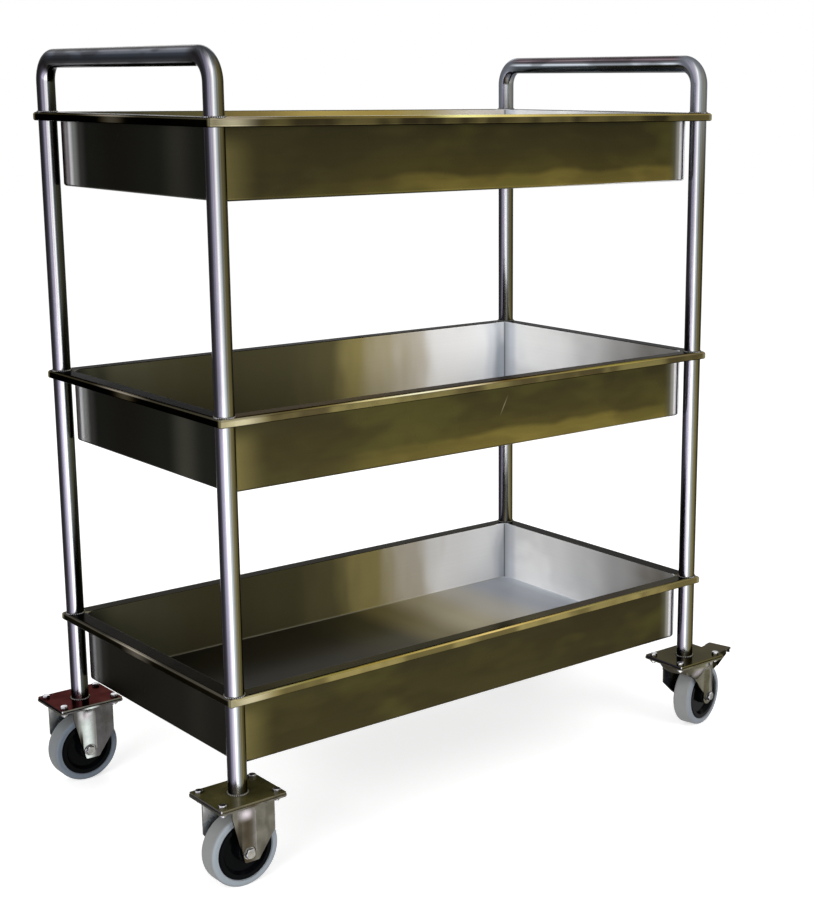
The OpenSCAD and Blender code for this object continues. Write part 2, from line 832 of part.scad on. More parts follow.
frame_tube(-1);  // left_frame_tube
frame_tube(1);  // right_frame_tube
top_tray();
middle_tray();
bottom_tray();
tray_weld_beads();
foot_weld_beads();
foot_plate(FL);  // front_left_foot_plate
foot_plate(BL);  // back_left_foot_plate
foot_plate(FR);  // front_right_foot_plate
foot_plate(BR);  // back_right_foot_plate
plate_bolts(FL);  // front_left_plate_bolts
plate_bolts(BL);  // back_left_plate_bolts
plate_bolts(FR);  // front_right_plate_bolts
plate_bolts(BR);  // back_right_plate_bolts
plate_nuts(FL);  // front_left_plate_nuts
plate_nuts(BL);  // back_left_plate_nuts
plate_nuts(FR);  // front_right_plate_nuts
plate_nuts(BR);  // back_right_plate_nuts
fixed_bracket(FL);  // front_left_bracket
fixed_bracket(BL);  // back_left_bracket
swivel_plate(FR);  // front_right_swivel_plate
swivel_plate(BR);  // back_right_swivel_plate
swivel_balls(FR, front_right_turn);  // front_right_swivel_balls
swivel_balls(BR, back_right_turn);  // back_right_swivel_balls
kingpin(FR);  // front_right_kingpin
kingpin(BR);  // back_right_kingpin
swivel_fork(FR, front_right_turn);  // front_right_fork
swivel_fork(BR, back_right_turn);  // back_right_fork
axle_bolt(FL, 0, 0);  // front_left_axle_bolt
axle_bolt(BL, 0, 0);  // back_left_axle_bolt
axle_bolt(FR, trail, front_right_turn);  // front_right_axle_bolt
axle_bolt(BR, trail, back_right_turn);  // back_right_axle_bolt
axle_nut(FL, 0, 0);  // front_left_axle_nut
axle_nut(BL, 0, 0);  // back_left_axle_nut
axle_nut(FR, trail, front_right_turn);  // front_right_axle_nut
axle_nut(BR, trail, back_right_turn);  // back_right_axle_nut
axle_sleeve(FL, 0, 0);  // front_left_axle_sleeve
axle_sleeve(BL, 0, 0);  // back_left_axle_sleeve
axle_sleeve(FR, trail, front_right_turn);  // front_right_axle_sleeve
axle_sleeve(BR, trail, back_right_turn);  // back_right_axle_sleeve
hub_bush(FL, 0, 0);  // front_left_hub_bush
hub_bush(BL, 0, 0);  // back_left_hub_bush
hub_bush(FR, trail, front_right_turn);  // front_right_hub_bush
hub_bush(BR, trail, back_right_turn);  // back_right_hub_bush
wheel_hub(FL, 0, 0);  // front_left_wheel_hub
wheel_hub(BL, 0, 0);  // back_left_wheel_hub
wheel_hub(FR, trail, front_right_turn);  // front_right_wheel_hub
wheel_hub(BR, trail, back_right_turn);  // back_right_wheel_hub
tyre(FL, 0, 0);  // front_left_tyre
tyre(BL, 0, 0);  // back_left_tyre
tyre(FR, trail, front_right_turn);  // front_right_tyre
tyre(BR, trail, back_right_turn);  // back_right_tyre
brake_pedal(FR, front_right_turn);  // front_right_brake_pedal
brake_pedal(BR, back_right_turn);  // back_right_brake_pedal
brake_pin(FR, front_right_turn);  // front_right_brake_pin
brake_pin(BR, back_right_turn);  // back_right_brake_pin
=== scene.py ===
# %% [markdown]
# # A three-tier trolley in polished stainless steel
#
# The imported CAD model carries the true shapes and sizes: two bent tube frames, three folded
# trays, two fixed casters and two braked swivel casters. This lesson dresses it for a render.
# Each step has a note first, on what the piece is, how it could be made and why it is made so.

# %% Load the frame and keep its box
import json
import math

import bmesh
import bpy
from mathutils import Euler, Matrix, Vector

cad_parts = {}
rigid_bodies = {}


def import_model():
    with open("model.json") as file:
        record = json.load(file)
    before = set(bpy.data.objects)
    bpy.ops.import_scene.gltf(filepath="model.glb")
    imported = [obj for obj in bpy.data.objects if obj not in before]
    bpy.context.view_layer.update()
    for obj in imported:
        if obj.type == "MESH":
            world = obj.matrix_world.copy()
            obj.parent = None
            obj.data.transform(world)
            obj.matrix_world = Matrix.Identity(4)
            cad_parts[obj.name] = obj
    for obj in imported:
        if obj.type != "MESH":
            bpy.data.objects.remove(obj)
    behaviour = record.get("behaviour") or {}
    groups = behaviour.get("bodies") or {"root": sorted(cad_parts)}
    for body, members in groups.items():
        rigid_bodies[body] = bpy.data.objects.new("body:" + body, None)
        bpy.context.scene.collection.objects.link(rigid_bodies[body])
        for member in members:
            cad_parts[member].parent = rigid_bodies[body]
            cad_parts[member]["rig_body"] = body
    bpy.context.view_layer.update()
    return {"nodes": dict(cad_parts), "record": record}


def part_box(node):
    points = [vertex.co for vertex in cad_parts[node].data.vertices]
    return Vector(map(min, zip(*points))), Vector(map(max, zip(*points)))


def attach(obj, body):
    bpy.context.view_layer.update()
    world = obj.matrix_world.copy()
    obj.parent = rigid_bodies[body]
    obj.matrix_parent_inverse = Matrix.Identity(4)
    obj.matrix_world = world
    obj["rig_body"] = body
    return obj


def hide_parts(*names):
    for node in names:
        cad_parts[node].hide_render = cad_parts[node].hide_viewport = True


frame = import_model()
nodes = frame["nodes"]
scene = bpy.context.scene
slot_of = {part["node"]: part["material_slot"] for part in frame["record"]["subparts"]}

# %% [markdown]
# ## The camera
#
# The photograph was matched by fitting a camera to the legs, rims and foot plates. The trolley
# stands left of the middle of the lens, as if the frame was cut from a wider picture. A lens
# shift does the same here: without it the near end of the right handle lands eleven pixels too
# high, with it four.

# %% Camera
camera_data = bpy.data.cameras.new("camera")
camera_data.sensor_fit = "VERTICAL"
camera_data.sensor_height = 24.0
camera_data.lens = 44.329
camera_data.shift_x = -0.14
camera_data.clip_end = 60.0
camera = bpy.data.objects.new("camera", camera_data)
camera.location = (-1.4810, -1.9955, 1.0218)
camera.rotation_euler = Euler([math.radians(a) for a in (77.7049, -0.2781, -40.8978)])
scene.collection.objects.link(camera)
scene.camera = camera
scene.view_settings.view_transform = "Standard"
print("camera stands", round(camera.location.length, 2), "m from the origin")

# %% [markdown]
# ## Small helpers for node trees
#
# Shader and geometry trees are built from the same few moves: add a node with what its inputs
# take, do a sum, ease a value between two limits, look a colour up on a strip. A number that
# knows its tree can stand in a plain sum, which adds the Math nodes by itself, so each material
# below reads as the rule that it follows.

# %% Nodes and their inputs
def fill(tree, socket, value):
    """Sets a plain value on a socket, or links what a node gives."""
    if isinstance(value, (int, float)):
        socket.default_value = value
    elif isinstance(value, tuple):
        socket.default_value = (*value, 1) if len(socket.default_value) == 4 else value
    elif value is not None:
        tree.links.new(value.socket if isinstance(value, Value) else value, socket)


def new_node(tree, kind, inputs=None, **settings):
    """Adds a node with its settings, and fills the inputs that are named."""
    node = tree.nodes.new(kind)
    for name, value in settings.items():
        setattr(node, name, value)
    for label, value in (inputs or {}).items():
        fill(tree, node.inputs[label], value)
    return node


def math_node(tree, operation, first, second=None):
    node = new_node(tree, "ShaderNodeMath", {0: first, 1: second}, operation=operation)
    return Value(tree, node.outputs[0])


def vector_node(tree, operation, first, second):
    slot = "Scale" if operation == "SCALE" else 1
    node = new_node(tree, "ShaderNodeVectorMath", operation=operation)
    fill(tree, node.inputs[0], first)
    fill(tree, node.inputs[slot], second)
    return node.outputs[0]


# %% A number that a node gives
class Value:
    """A sum with a Value adds Math nodes to its tree and gives a new Value."""

    def __init__(self, tree, socket):
        self.tree, self.socket = tree, socket

    def __add__(self, other):
        return math_node(self.tree, "ADD", self, other)

    def __sub__(self, other):
        return math_node(self.tree, "SUBTRACT", self, other)

    def __rsub__(self, other):
        return math_node(self.tree, "SUBTRACT", other, self)

    def __mul__(self, other):
        return math_node(self.tree, "MULTIPLY", self, other)

    def __neg__(self):
        return self * -1.0

    def __abs__(self):
        return math_node(self.tree, "ABSOLUTE", self)

    def rise(self, low, high):
        """0 up to the low limit, easing to 1 at the high one."""
        node = new_node(self.tree, "ShaderNodeMapRange",
                        {"Value": self, "From Min": low, "From Max": high},
                        interpolation_type="SMOOTHSTEP")
        return Value(self.tree, node.outputs[0])

    def fall(self, low, high):
        """1 up to the low limit, easing to 0 at the high one."""
        return 1.0 - self.rise(low, high)

    def hump(self, middle, reach):
        """1 at the middle, easing to 0 at the reach on both sides."""
        return abs(self - middle).fall(0.0, reach)

    def strip(self, low, high, stops):
        """Looks a value between low and high up on a strip of screen colours."""
        part = new_node(self.tree, "ShaderNodeMapRange",
                        {"Value": self, "From Min": low, "From Max": high})
        node = new_node(self.tree, "ShaderNodeValToRGB", {"Fac": part.outputs[0]})
        node.color_ramp.interpolation = "EASE"
        band = node.color_ramp.elements
        while len(band) < len(stops):
            band.new(0.5)
        for element, (place, colour) in zip(band, stops):
            element.position = (place - low) / (high - low)
            element.color = (*tone(*colour), 1)
        return node.outputs["Color"]


# %% [markdown]
# Colours are written as on a screen, from 0 to 255, and turned into linear light, which is what
# the shader reads. An effect that several materials share becomes a group, built once.

# %% Colours, groups and materials
def tone(red, green, blue):
    """A colour as seen on a screen, in linear light."""
    def linear(value):
        part = value / 255
        return part / 12.92 if part <= 0.04045 else ((part + 0.055) / 1.055) ** 2.4
    return tuple(linear(value) for value in (red, green, blue))


def mix_colour(tree, share, first, second, mode="MIX"):
    node = new_node(tree, "ShaderNodeMix", data_type="RGBA", blend_type=mode)
    for slot, value in ((0, share), (6, first), (7, second)):
        fill(tree, node.inputs[slot], value)
    return node.outputs[2]


def new_group(name, inputs, outputs):
    group = bpy.data.node_groups.new(name, "ShaderNodeTree")
    for label, kind, value in inputs:
        group.interface.new_socket(label, in_out="INPUT", socket_type=kind).default_value = value
    for label, kind in outputs:
        group.interface.new_socket(label, in_out="OUTPUT", socket_type=kind)
    return group, group.nodes.new("NodeGroupInput"), group.nodes.new("NodeGroupOutput")


def placed_group(tree, group, **values):
    """A group node in a tree, with its inputs set by name."""
    return new_node(tree, "ShaderNodeGroup", values, node_tree=group)


def shader_tree(name):
    material = bpy.data.materials.new(name)
    material.use_nodes = True
    tree = material.node_tree
    tree.nodes.clear()
    return material, tree


# %% [markdown]
# ## Floor, world and lamps
#
# Polished steel shows whatever stands around it, so the surroundings matter as much as the
# lamps. A pale floor and a white world are plain and even. Light Path keeps both white for the
# camera and in reflections, while the lamps and a dimmer world light the rest at a plain level.
# The floor still takes real light as well, so it keeps the soft shadow of the trolley.

# %% Floor
WHITE = (1.0, 1.0, 1.0)
FLOOR_R = 14.0
FLOOR_GLOW = 0.54


def seen_directly(tree):
    """1 for camera, glossy and transmission rays, 0 for the rest."""
    path = new_node(tree, "ShaderNodeLightPath")
    first = math_node(tree, "MAXIMUM", path.outputs["Is Camera Ray"],
                      path.outputs["Is Glossy Ray"])
    return math_node(tree, "MAXIMUM", first, path.outputs["Is Transmission Ray"])


floor_paint, tree = shader_tree("pale floor")
matt = new_node(tree, "ShaderNodeBsdfDiffuse", {"Color": (0.8, 0.8, 0.8)})
glow = new_node(tree, "ShaderNodeEmission",
                {"Color": WHITE, "Strength": seen_directly(tree) * FLOOR_GLOW})
both = new_node(tree, "ShaderNodeAddShader", {0: matt.outputs[0], 1: glow.outputs[0]})
new_node(tree, "ShaderNodeOutputMaterial", {"Surface": both.outputs[0]})

floor_mesh = bpy.data.meshes.new("floor")
ring = [(FLOOR_R * math.cos(a), FLOOR_R * math.sin(a), 0.0)
        for a in (math.tau * k / 96 for k in range(96))]
floor_mesh.from_pydata(ring, [], [list(range(96))])
floor_mesh.materials.append(floor_paint)
floor = bpy.data.objects.new("floor", floor_mesh)
scene.collection.objects.link(floor)
print("floor radius", FLOOR_R, "m")

# %% World
LIGHT_LEVEL, SEEN_LEVEL = 0.62, 1.0

world = bpy.data.worlds.new("white room")
scene.world = world
world.use_nodes = True
tree = world.node_tree
tree.nodes.clear()
light, seen = (new_node(tree, "ShaderNodeBackground", {"Color": WHITE, "Strength": strength})
               for strength in (LIGHT_LEVEL, SEEN_LEVEL))
blend = new_node(tree, "ShaderNodeMixShader",
                 {"Fac": seen_directly(tree), 1: light.outputs[0], 2: seen.outputs[0]})
new_node(tree, "ShaderNodeOutputWorld", {"Surface": blend.outputs[0]})
print("the world lights at", LIGHT_LEVEL, "and shows at", SEEN_LEVEL)


# %% Lamps
def soft_lamp(name, place, target, size, watts, mirrored=True):
    data = bpy.data.lights.new(name, "AREA")
    data.shape = "RECTANGLE"
    data.size, data.size_y = size
    data.energy = watts
    lamp = bpy.data.objects.new(name, data)
    lamp.location = place
    lamp.rotation_euler = (Vector(target) - Vector(place)).to_track_quat("-Z", "Y").to_euler()
    lamp.visible_glossy = mirrored
    scene.collection.objects.link(lamp)
    print(name, watts, "W")


soft_lamp("window lamp", (-3.5, -1.5, 1.45), (0, 0, 0.5), (2.4, 1.4), 95, mirrored=False)
soft_lamp("front lamp", (0.9, -3.6, 1.6), (0, 0, 0.5), (2.2, 1.4), 66, mirrored=False)
soft_lamp("back lamp", (1.8, 3.0, 2.8), (0, 0, 0.6), (2.4, 1.4), 25)

# %% [markdown]
# ## Where a face lies and which way it points
#
# Most finishes below go by place on the trolley: along it from the middle of the trays, across
# it and up. The CAD boxes give the measures, in metres, and Texture Coordinate gives each point
# of a surface its place and its normal in the object's own space.

# %% Readings
low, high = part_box("middle_tray")
MIDDLE_X = (low.x + high.x) / 2
HALF_L, HALF_W = (high.x - low.x) / 2, (high.y - low.y) / 2


class Readings:
    """Place on the trolley and the way the surface points, as values of a tree."""

    def __init__(self, tree):
        where = new_node(tree, "ShaderNodeTexCoord")
        place = new_node(tree, "ShaderNodeSeparateXYZ", {0: where.outputs["Object"]})
        facing = new_node(tree, "ShaderNodeSeparateXYZ", {0: where.outputs["Normal"]})
        self.x, self.across, self.height = (Value(tree, place.outputs[axis]) for axis in "XYZ")
        self.faces_x, self.faces_y, self.faces_z = (
            Value(tree, facing.outputs[axis]) for axis in "XYZ")
        self.along = self.x - MIDDLE_X
        self.faces_down = -self.faces_z


print("trays", round(2 * HALF_L, 4), "by", round(2 * HALF_W, 4), "m about x", round(MIDDLE_X, 4))

# %% [markdown]
# ## The room's reflections, painted into the steel
#
# The steel in the photograph is not one grey. Its faces that look along X are nearly black,
# those that look along Y are olive brown, and the turns between them flash white. These are
# reflections of the room, and here they are painted into the colour. The painted pattern goes with
# the way a face points, on legs, forks and folded edges alike, and creeps round a little along the
# trolley, because the bright part of the room is near. Faces that look up take a painted reflection
# of what is above them, and faces that look down take a painted shade. One shared node group reads
# the object's own normal and place and returns that painted colour, so every steel part agrees with
# its neighbours. Painting each part by hand would take longer and agree less.

# %% Shared group: painted room reflections by the way a face points
STRIP_START = 0.518
CREEP_ALONG, CREEP_ACROSS = 0.058, 0.035
BRIGHTEST = (0.96, 0.96, 0.96)

painted_room_reflections, given, result = new_group(
    "Painted room reflections",
    [("Gain", "NodeSocketFloat", 1.0), ("Haze", "NodeSocketFloat", 0.0),
     ("Top", "NodeSocketColor", (0.15, 0.15, 0.15, 1)),
     ("Under", "NodeSocketColor", (0.02, 0.02, 0.015, 1))],
    [("Color", "NodeSocketColor")],
)
read = Readings(painted_room_reflections)
# painted reflection of the room: a strip of screen colours round the way a face points
turn = math_node(painted_room_reflections, "ARCTAN2", read.faces_y, read.faces_x) * (1 / math.tau)
creep = read.x * CREEP_ALONG - read.across * CREEP_ACROSS
around = math_node(painted_room_reflections, "FRACT", turn + STRIP_START + creep)
tones = around.strip(0.0, 1.0, [
    (0.000, (36, 34, 36)), (0.032, (38, 36, 39)), (0.062, (56, 54, 63)), (0.092, (122, 119, 136)),
    (0.122, (150, 146, 164)), (0.148, (214, 208, 218)), (0.172, (252, 253, 255)),
    (0.200, (150, 158, 162)), (0.226, (114, 114, 107)), (0.255, (96, 90, 66)),
    (0.288, (87, 81, 50)), (0.325, (60, 54, 30)), (0.370, (34, 33, 30)), (0.430, (92, 92, 98)),
    (0.462, (60, 58, 60)), (0.492, (150, 148, 158)), (0.518, (226, 228, 234)),
    (0.542, (128, 130, 134)), (0.580, (66, 62, 54)), (0.622, (150, 147, 162)),
    (0.668, (246, 248, 252)), (0.705, (146, 152, 156)), (0.755, (95, 90, 66)),
    (0.790, (70, 66, 48)), (0.812, (150, 148, 150)), (0.835, (240, 241, 246)),
    (0.856, (140, 142, 148)), (0.880, (60, 58, 60)), (0.925, (50, 48, 52)), (1.000, (36, 34, 36)),
])
tones = vector_node(painted_room_reflections, "SCALE", tones, given.outputs["Gain"])
tones = vector_node(painted_room_reflections, "ADD", tones, given.outputs["Haze"])
tones = vector_node(painted_room_reflections, "MINIMUM", tones, BRIGHTEST)
# painted reflection on faces that look up, painted shade on faces that look down
tones = mix_colour(painted_room_reflections, read.faces_z.rise(0.3, 0.85), tones, given.outputs["Top"])
tones = mix_colour(painted_room_reflections, read.faces_down.rise(0.25, 0.8), tones, given.outputs["Under"])
fill(painted_room_reflections, result.inputs["Color"], tones)
print("room tones:", len(painted_room_reflections.nodes), "nodes")

# %% [markdown]
# Sheet and tube leave the mill with a fine grain along their length. It is only seen as faint
# streaks in colour and gloss, so a stretched noise is enough, with a scale for each direction.
# Hands and cloths add soft cloudy marks. Both effects serve many materials, so each is a group.

# %% Shared groups: grain and handling marks
grain, given, result = new_group(
    "Polishing grain",
    [("Scale", "NodeSocketVector", (4.0, 900.0, 900.0)), ("Depth", "NodeSocketFloat", 0.3)],
    [("Height", "NodeSocketFloat"), ("Tone", "NodeSocketFloat")],
)
where = new_node(grain, "ShaderNodeTexCoord")
stretch = new_node(grain, "ShaderNodeMapping",
                   {"Vector": where.outputs["Object"], "Scale": given.outputs["Scale"]})
streaks = new_node(grain, "ShaderNodeTexNoise",
                   {"Vector": stretch.outputs[0], "Scale": 1.0, "Detail": 2.0})
streak = Value(grain, streaks.outputs["Fac"])
fill(grain, result.inputs["Height"], streak)
fill(grain, result.inputs["Tone"], (streak - 0.5) * given.outputs["Depth"] + 1.0)

marks, given, result = new_group(
    "Handling marks",
    [("Size", "NodeSocketFloat", 9.0), ("Low", "NodeSocketFloat", 0.18),
     ("High", "NodeSocketFloat", 0.34)],
    [("Roughness", "NodeSocketFloat"), ("Cloud", "NodeSocketFloat")],
)
where = new_node(marks, "ShaderNodeTexCoord")
clouds = new_node(marks, "ShaderNodeTexNoise",
                  {"Vector": where.outputs["Object"], "Scale": given.outputs["Size"],
                   "Detail": 2.0, "Roughness": 0.5})
spread = new_node(marks, "ShaderNodeMapRange",
                  {"Value": clouds.outputs["Fac"], "From Min": 0.3, "From Max": 0.7,
                   "To Min": given.outputs["Low"], "To Max": given.outputs["High"]})
fill(marks, result.inputs["Roughness"], spread.outputs[0])
fill(marks, result.inputs["Cloud"], clouds.outputs["Fac"])
print("shared groups:", ", ".join(group.name for group in (painted_room_reflections, grain, marks)))

# %% [markdown]
# ## Steel materials
#
# Every steel finish is the same recipe with its own numbers: a builder for its colour, grain for
# streaks, handling marks for gloss. The Principled BSDF stays in the material itself, so that the
# export can read it. Its tint darkens the glance of a metal a little, as the dark room does.

# %% Steel recipe
STEEL_RELIEF = 0.0002


def painted_reflection_colour(gain=1.0, haze=0.0, top=(60, 58, 50), under=(30, 29, 22)):
    """A builder for the usual colour of a steel part: the painted room reflections, with a painted
    reflection on faces that look up and painted shade on faces that look down.
    """
    def build(tree):
        tones = placed_group(tree, painted_room_reflections, Gain=gain, Haze=haze, Top=tone(*top),
                             Under=tone(*under))
        return tones.outputs["Color"]
    return build


def soft_blotches(tree, scale, low=0.4, high=0.6):
    """Soft blotches, stretched by three scales, as a share from 0 to 1."""
    blotches = placed_group(tree, grain, Scale=scale, Depth=0.0)
    return Value(tree, blotches.outputs["Height"]).rise(low, high)


def finish_surface(tree, surface, height, strength, distance):
    """Gives a shader its fine relief, and the material its output."""
    ripple = new_node(tree, "ShaderNodeBump",
                      {"Strength": strength, "Distance": distance, "Height": height})
    fill(tree, surface.inputs["Normal"], ripple.outputs[0])
    new_node(tree, "ShaderNodeOutputMaterial", {"Surface": surface.outputs[0]})


def steel(name, colour, grain_scale=(4, 900, 900), depth=0.1, gloss=(0.2, 0.3), bump=0.02,
          cloud=0.15, size=9.0, metallic=1.0, tint=0.5, ior=1.45):
    material, tree = shader_tree(name)
    lines = placed_group(tree, grain, Scale=grain_scale, Depth=depth)
    wear = placed_group(tree, marks, Size=size, Low=gloss[0], High=gloss[1])
    cloudy = (Value(tree, wear.outputs["Cloud"]) - 0.5) * (cloud * 2) + 1.0
    shade = Value(tree, lines.outputs["Tone"]) * cloudy
    surface = new_node(tree, "ShaderNodeBsdfPrincipled", {
        "Base Color": vector_node(tree, "SCALE", colour(tree), shade), "Metallic": metallic,
        "Roughness": wear.outputs["Roughness"], "IOR": ior, "Specular Tint": (tint, tint, tint)})
    finish_surface(tree, surface, lines.outputs["Height"], bump, STEEL_RELIEF)
    return material


# %% Welds, foot plates, fasteners and brakes
# painted room reflections give these steels their colour; the front and left foot plates are copies
# with their own painted reflections
weld_steel = steel("weld beads", painted_reflection_colour(0.7, 0.03, (112, 108, 92), (60, 57, 45)),
                   grain_scale=(60, 60, 60), depth=0.4, gloss=(0.3, 0.45), size=40.0)
plate_olive = steel("foot plate steel", painted_reflection_colour(0.9, 0.0, (70, 65, 44), (22, 21, 16)),
                    grain_scale=(8, 400, 400), gloss=(0.12, 0.22), cloud=0.5, size=14.0)
plate_front = steel("foot plate steel, front", painted_reflection_colour(0.9, 0.0, (84, 79, 46), (22, 21, 16)),
                    grain_scale=(8, 400, 400), gloss=(0.14, 0.26), cloud=0.9, size=26.0,
                    metallic=0.45)
plate_maroon = steel("foot plate steel, left", painted_reflection_colour(0.9, 0.0, (78, 40, 38), (22, 19, 18)),
                     grain_scale=(30, 60, 60), depth=0.6, gloss=(0.12, 0.22), cloud=0.7, size=26.0,
                     tint=0.45)
bright_zinc = steel("bright zinc", painted_reflection_colour(0.7, 0.2, (222, 222, 226), (60, 58, 50)),
                    grain_scale=(160, 160, 160), depth=0.9, gloss=(0.18, 0.3), cloud=0.4, size=90.0)
bearing_steel = steel("ground steel", painted_reflection_colour(0.7, 0.16, (180, 180, 182), (60, 58, 50)),
                      grain_scale=(200, 200, 200), gloss=(0.15, 0.25), size=60.0)
brake_steel = steel("brake steel", painted_reflection_colour(0.4, 0.0, (72, 66, 50), (18, 18, 18)),
                    grain_scale=(40, 40, 40), depth=0.3, gloss=(0.22, 0.36), cloud=0.5, size=30.0)
print("materials so far:", len(bpy.data.materials))

# %% [markdown]
# ## The pressed steel of the casters
#
# Brackets and forks are pressed sheet, duller than the tubes and full of small dents, whose shade
# is painted as darker blotches. Their colour is painted reflection: the broad face is a mid grey,
# its curved rib takes a painted reflection of another tone, dark on the front caster and pale on
# the left one, and the crown above it has a painted highlight where it catches the light. The rib
# stands over the axle, so its place along X picks it out, and a strip by the way a face points
# gives the rest. The inner side of the far cheek takes painted light, which the right casters have
# as painted shade, faces that look up take painted light and faces that look down painted shade.

# %% Caster steel
FRAME_TUBES = ("left_frame_tube", "right_frame_tube")
low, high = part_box(FRAME_TUBES[0])
TUBE_R = (high.x - low.x) / 2
LEG_Y = high.y - TUBE_R
LEFT_LEG_X, RIGHT_LEG_X = (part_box(tube)[0].x + TUBE_R for tube in FRAME_TUBES)
CROWN_Z = 0.106


def caster_finish(name, axle_x, axle_y, rib, face, far_cheek):
    def build(tree):
        read = Readings(tree)
        # painted reflections by the way a face points along X
        colour = read.faces_x.strip(-1.0, 1.0, [
            (-1.0, (58, 55, 48)), (-0.6, (72, 68, 58)), (-0.2, face), (0.1, face),
            (0.5, (134, 131, 126)), (0.8, (156, 154, 152)), (1.0, (96, 93, 86))])
        # painted shade of small dents, as darker blotches
        dent_shade = soft_blotches(tree, (70, 70, 26), 0.42, 0.6) * 0.4
        colour = mix_colour(tree, dent_shade, colour, tone(62, 58, 48))
        # painted light on the inner side of the far cheek
        beyond = read.across.rise(axle_y + 0.004, axle_y + 0.008)
        cheek = (-read.faces_y).rise(0.3, 0.8) * beyond
        colour = mix_colour(tree, cheek, colour, tone(*far_cheek))
        from_axle = read.x - axle_x
        # painted reflection on the rib, in the tone that each caster is given
        outward = abs(read.faces_y).rise(0.5, 0.85)
        on_rib = from_axle.hump(-0.003, 0.016) * outward
        colour = mix_colour(tree, on_rib, colour, tone(*rib))
        # painted highlight on the crown above the rib
        crown = read.height.hump(CROWN_Z, 0.012) * from_axle.hump(-0.004, 0.014) * outward
        colour = mix_colour(tree, crown, colour, tone(198, 190, 194))
        # painted light on faces that look up, painted shade on faces that look down
        colour = mix_colour(tree, read.faces_z.rise(0.2, 0.8), colour, tone(150, 146, 136))
        return mix_colour(tree, read.faces_down.rise(0.3, 0.8), colour, tone(48, 46, 40))
    return steel(name, build, grain_scale=(60, 60, 60), depth=0.5, gloss=(0.2, 0.34), bump=0.05,
                 cloud=0.45, size=44.0, tint=0.6)


# three copies of the caster steel, each with its own painted reflections and painted light
fork_front = caster_finish("caster steel, front", LEFT_LEG_X, -LEG_Y, (70, 63, 50), (104, 101, 92),
                           (236, 236, 234))
fork_left = caster_finish("caster steel, left", LEFT_LEG_X, LEG_Y, (214, 222, 218), (88, 86, 86),
                          (190, 190, 188))
caster_steel = caster_finish("caster steel", RIGHT_LEG_X, -LEG_Y, (92, 88, 64), (96, 93, 74),
                             (60, 64, 70))
print("legs stand at", round(LEFT_LEG_X, 4), round(RIGHT_LEG_X, 4), "across", round(LEG_Y, 4))

# %% [markdown]
# ## The steel of the frame tubes
#
# The legs take the painted room reflections, with faint lines down their length that are partly
# the drawn tube's marks and partly painted reflection, and a paler painted sheen up by the right
# handle. The handle bars lie across the room instead of standing in it, so they show it from top to
# bottom: the left bar's painted reflection is palest near its top, the right one's half way down. A
# strip read by how far a face looks up paints this between the bends. The rear left leg stands
# before the dark end of the trays, so its right side is given a darker painted reflection.

# %% Tube steel
BAR_END, LEG_START = 0.178, 0.206


def tube_colour(tree):
    read = Readings(tree)
    at_left = read.along.fall(-0.2, 0.2)
    # painted shade: the rear left leg's right side darkens where it faces the dark end of the trays
    shade = at_left * read.across.rise(0.0, 0.2) * read.faces_x.rise(-0.42, -0.1) * 0.75
    legs = painted_reflection_colour(1.0, 0.0, (70, 72, 76), (26, 25, 20))(tree)
    legs = mix_colour(tree, shade, legs, tone(30, 36, 34))
    round_tube = new_node(tree, "ShaderNodeCombineXYZ", {
        "X": read.faces_x, "Y": read.faces_y, "Z": read.height * 0.3})
    # faint lines down the legs, partly drawing marks and partly painted reflection
    drawn_lines_and_sheen = new_node(tree, "ShaderNodeTexNoise", {"Scale": 7.0, "Vector": round_tube.outputs[0]})
    lines = Value(tree, drawn_lines_and_sheen.outputs["Fac"]).rise(0.38, 0.62) * 0.34 + 0.82
    legs = vector_node(tree, "SCALE", legs, lines)
    # painted sheen: the legs grow paler up by the right handle
    high_up_sheen = read.height.rise(0.84, 1.02) * 0.22 * (1.0 - at_left)
    legs = mix_colour(tree, high_up_sheen, legs, tone(186, 193, 206))
    # painted reflections of the room on the handle bars, by how far a face looks up
    left_bar = read.faces_z.strip(-1.0, 1.0, [
        (-1.0, (16, 16, 14)), (-0.76, (58, 56, 56)), (-0.64, (104, 104, 108)),
        (-0.52, (54, 54, 56)), (-0.2, (40, 42, 46)), (0.15, (54, 58, 66)),
        (0.45, (108, 112, 122)), (0.62, (146, 148, 156)), (0.8, (88, 86, 90)),
        (1.0, (40, 38, 38))])
    right_bar = read.faces_z.strip(-1.0, 1.0, [
        (-1.0, (20, 20, 18)), (-0.8, (100, 104, 106)), (-0.6, (50, 54, 56)), (-0.2, (70, 76, 82)),
        (0.06, (212, 220, 230)), (0.2, (118, 120, 126)), (0.38, (66, 62, 66)),
        (0.55, (136, 120, 128)), (0.72, (74, 66, 70)), (1.0, (40, 36, 36))])
    bar = mix_colour(tree, at_left, right_bar, left_bar)
    dark_blot = soft_blotches(tree, (60, 14, 60), 0.46, 0.62) * 0.5
    bar = mix_colour(tree, dark_blot, bar, tone(36, 35, 34))
    return mix_colour(tree, abs(read.across).rise(BAR_END, LEG_START), bar, legs)


tube_steel = steel("tube steel", tube_colour, grain_scale=(700, 700, 6), gloss=(0.14, 0.22),
                   cloud=0.12, size=14.0)
print("tube steel:", len(tube_steel.node_tree.nodes), "nodes")

# %% [markdown]
# ## The outside of the trays
#
# The long sides are olive, with a painted shadow under the rim, and a gold glow low down on the
# two upper trays that is a painted reflection of the floor. Their ends are nearly black painted
# reflections, with a soft pale painted sheen band. A painted highlight runs down by the right
# corners of the long sides and the back corners of the ends, where the sheet begins to turn, and a
# painted reflection of the left legs lies low down by the left ends. Faces that look down take
# painted shade. All of this goes by place on the sheet, so it is read from the object's
# coordinates. The trays hang at equal steps, so a remainder by the step gives the height on any
# tray, and the whole part tells which tray it is.

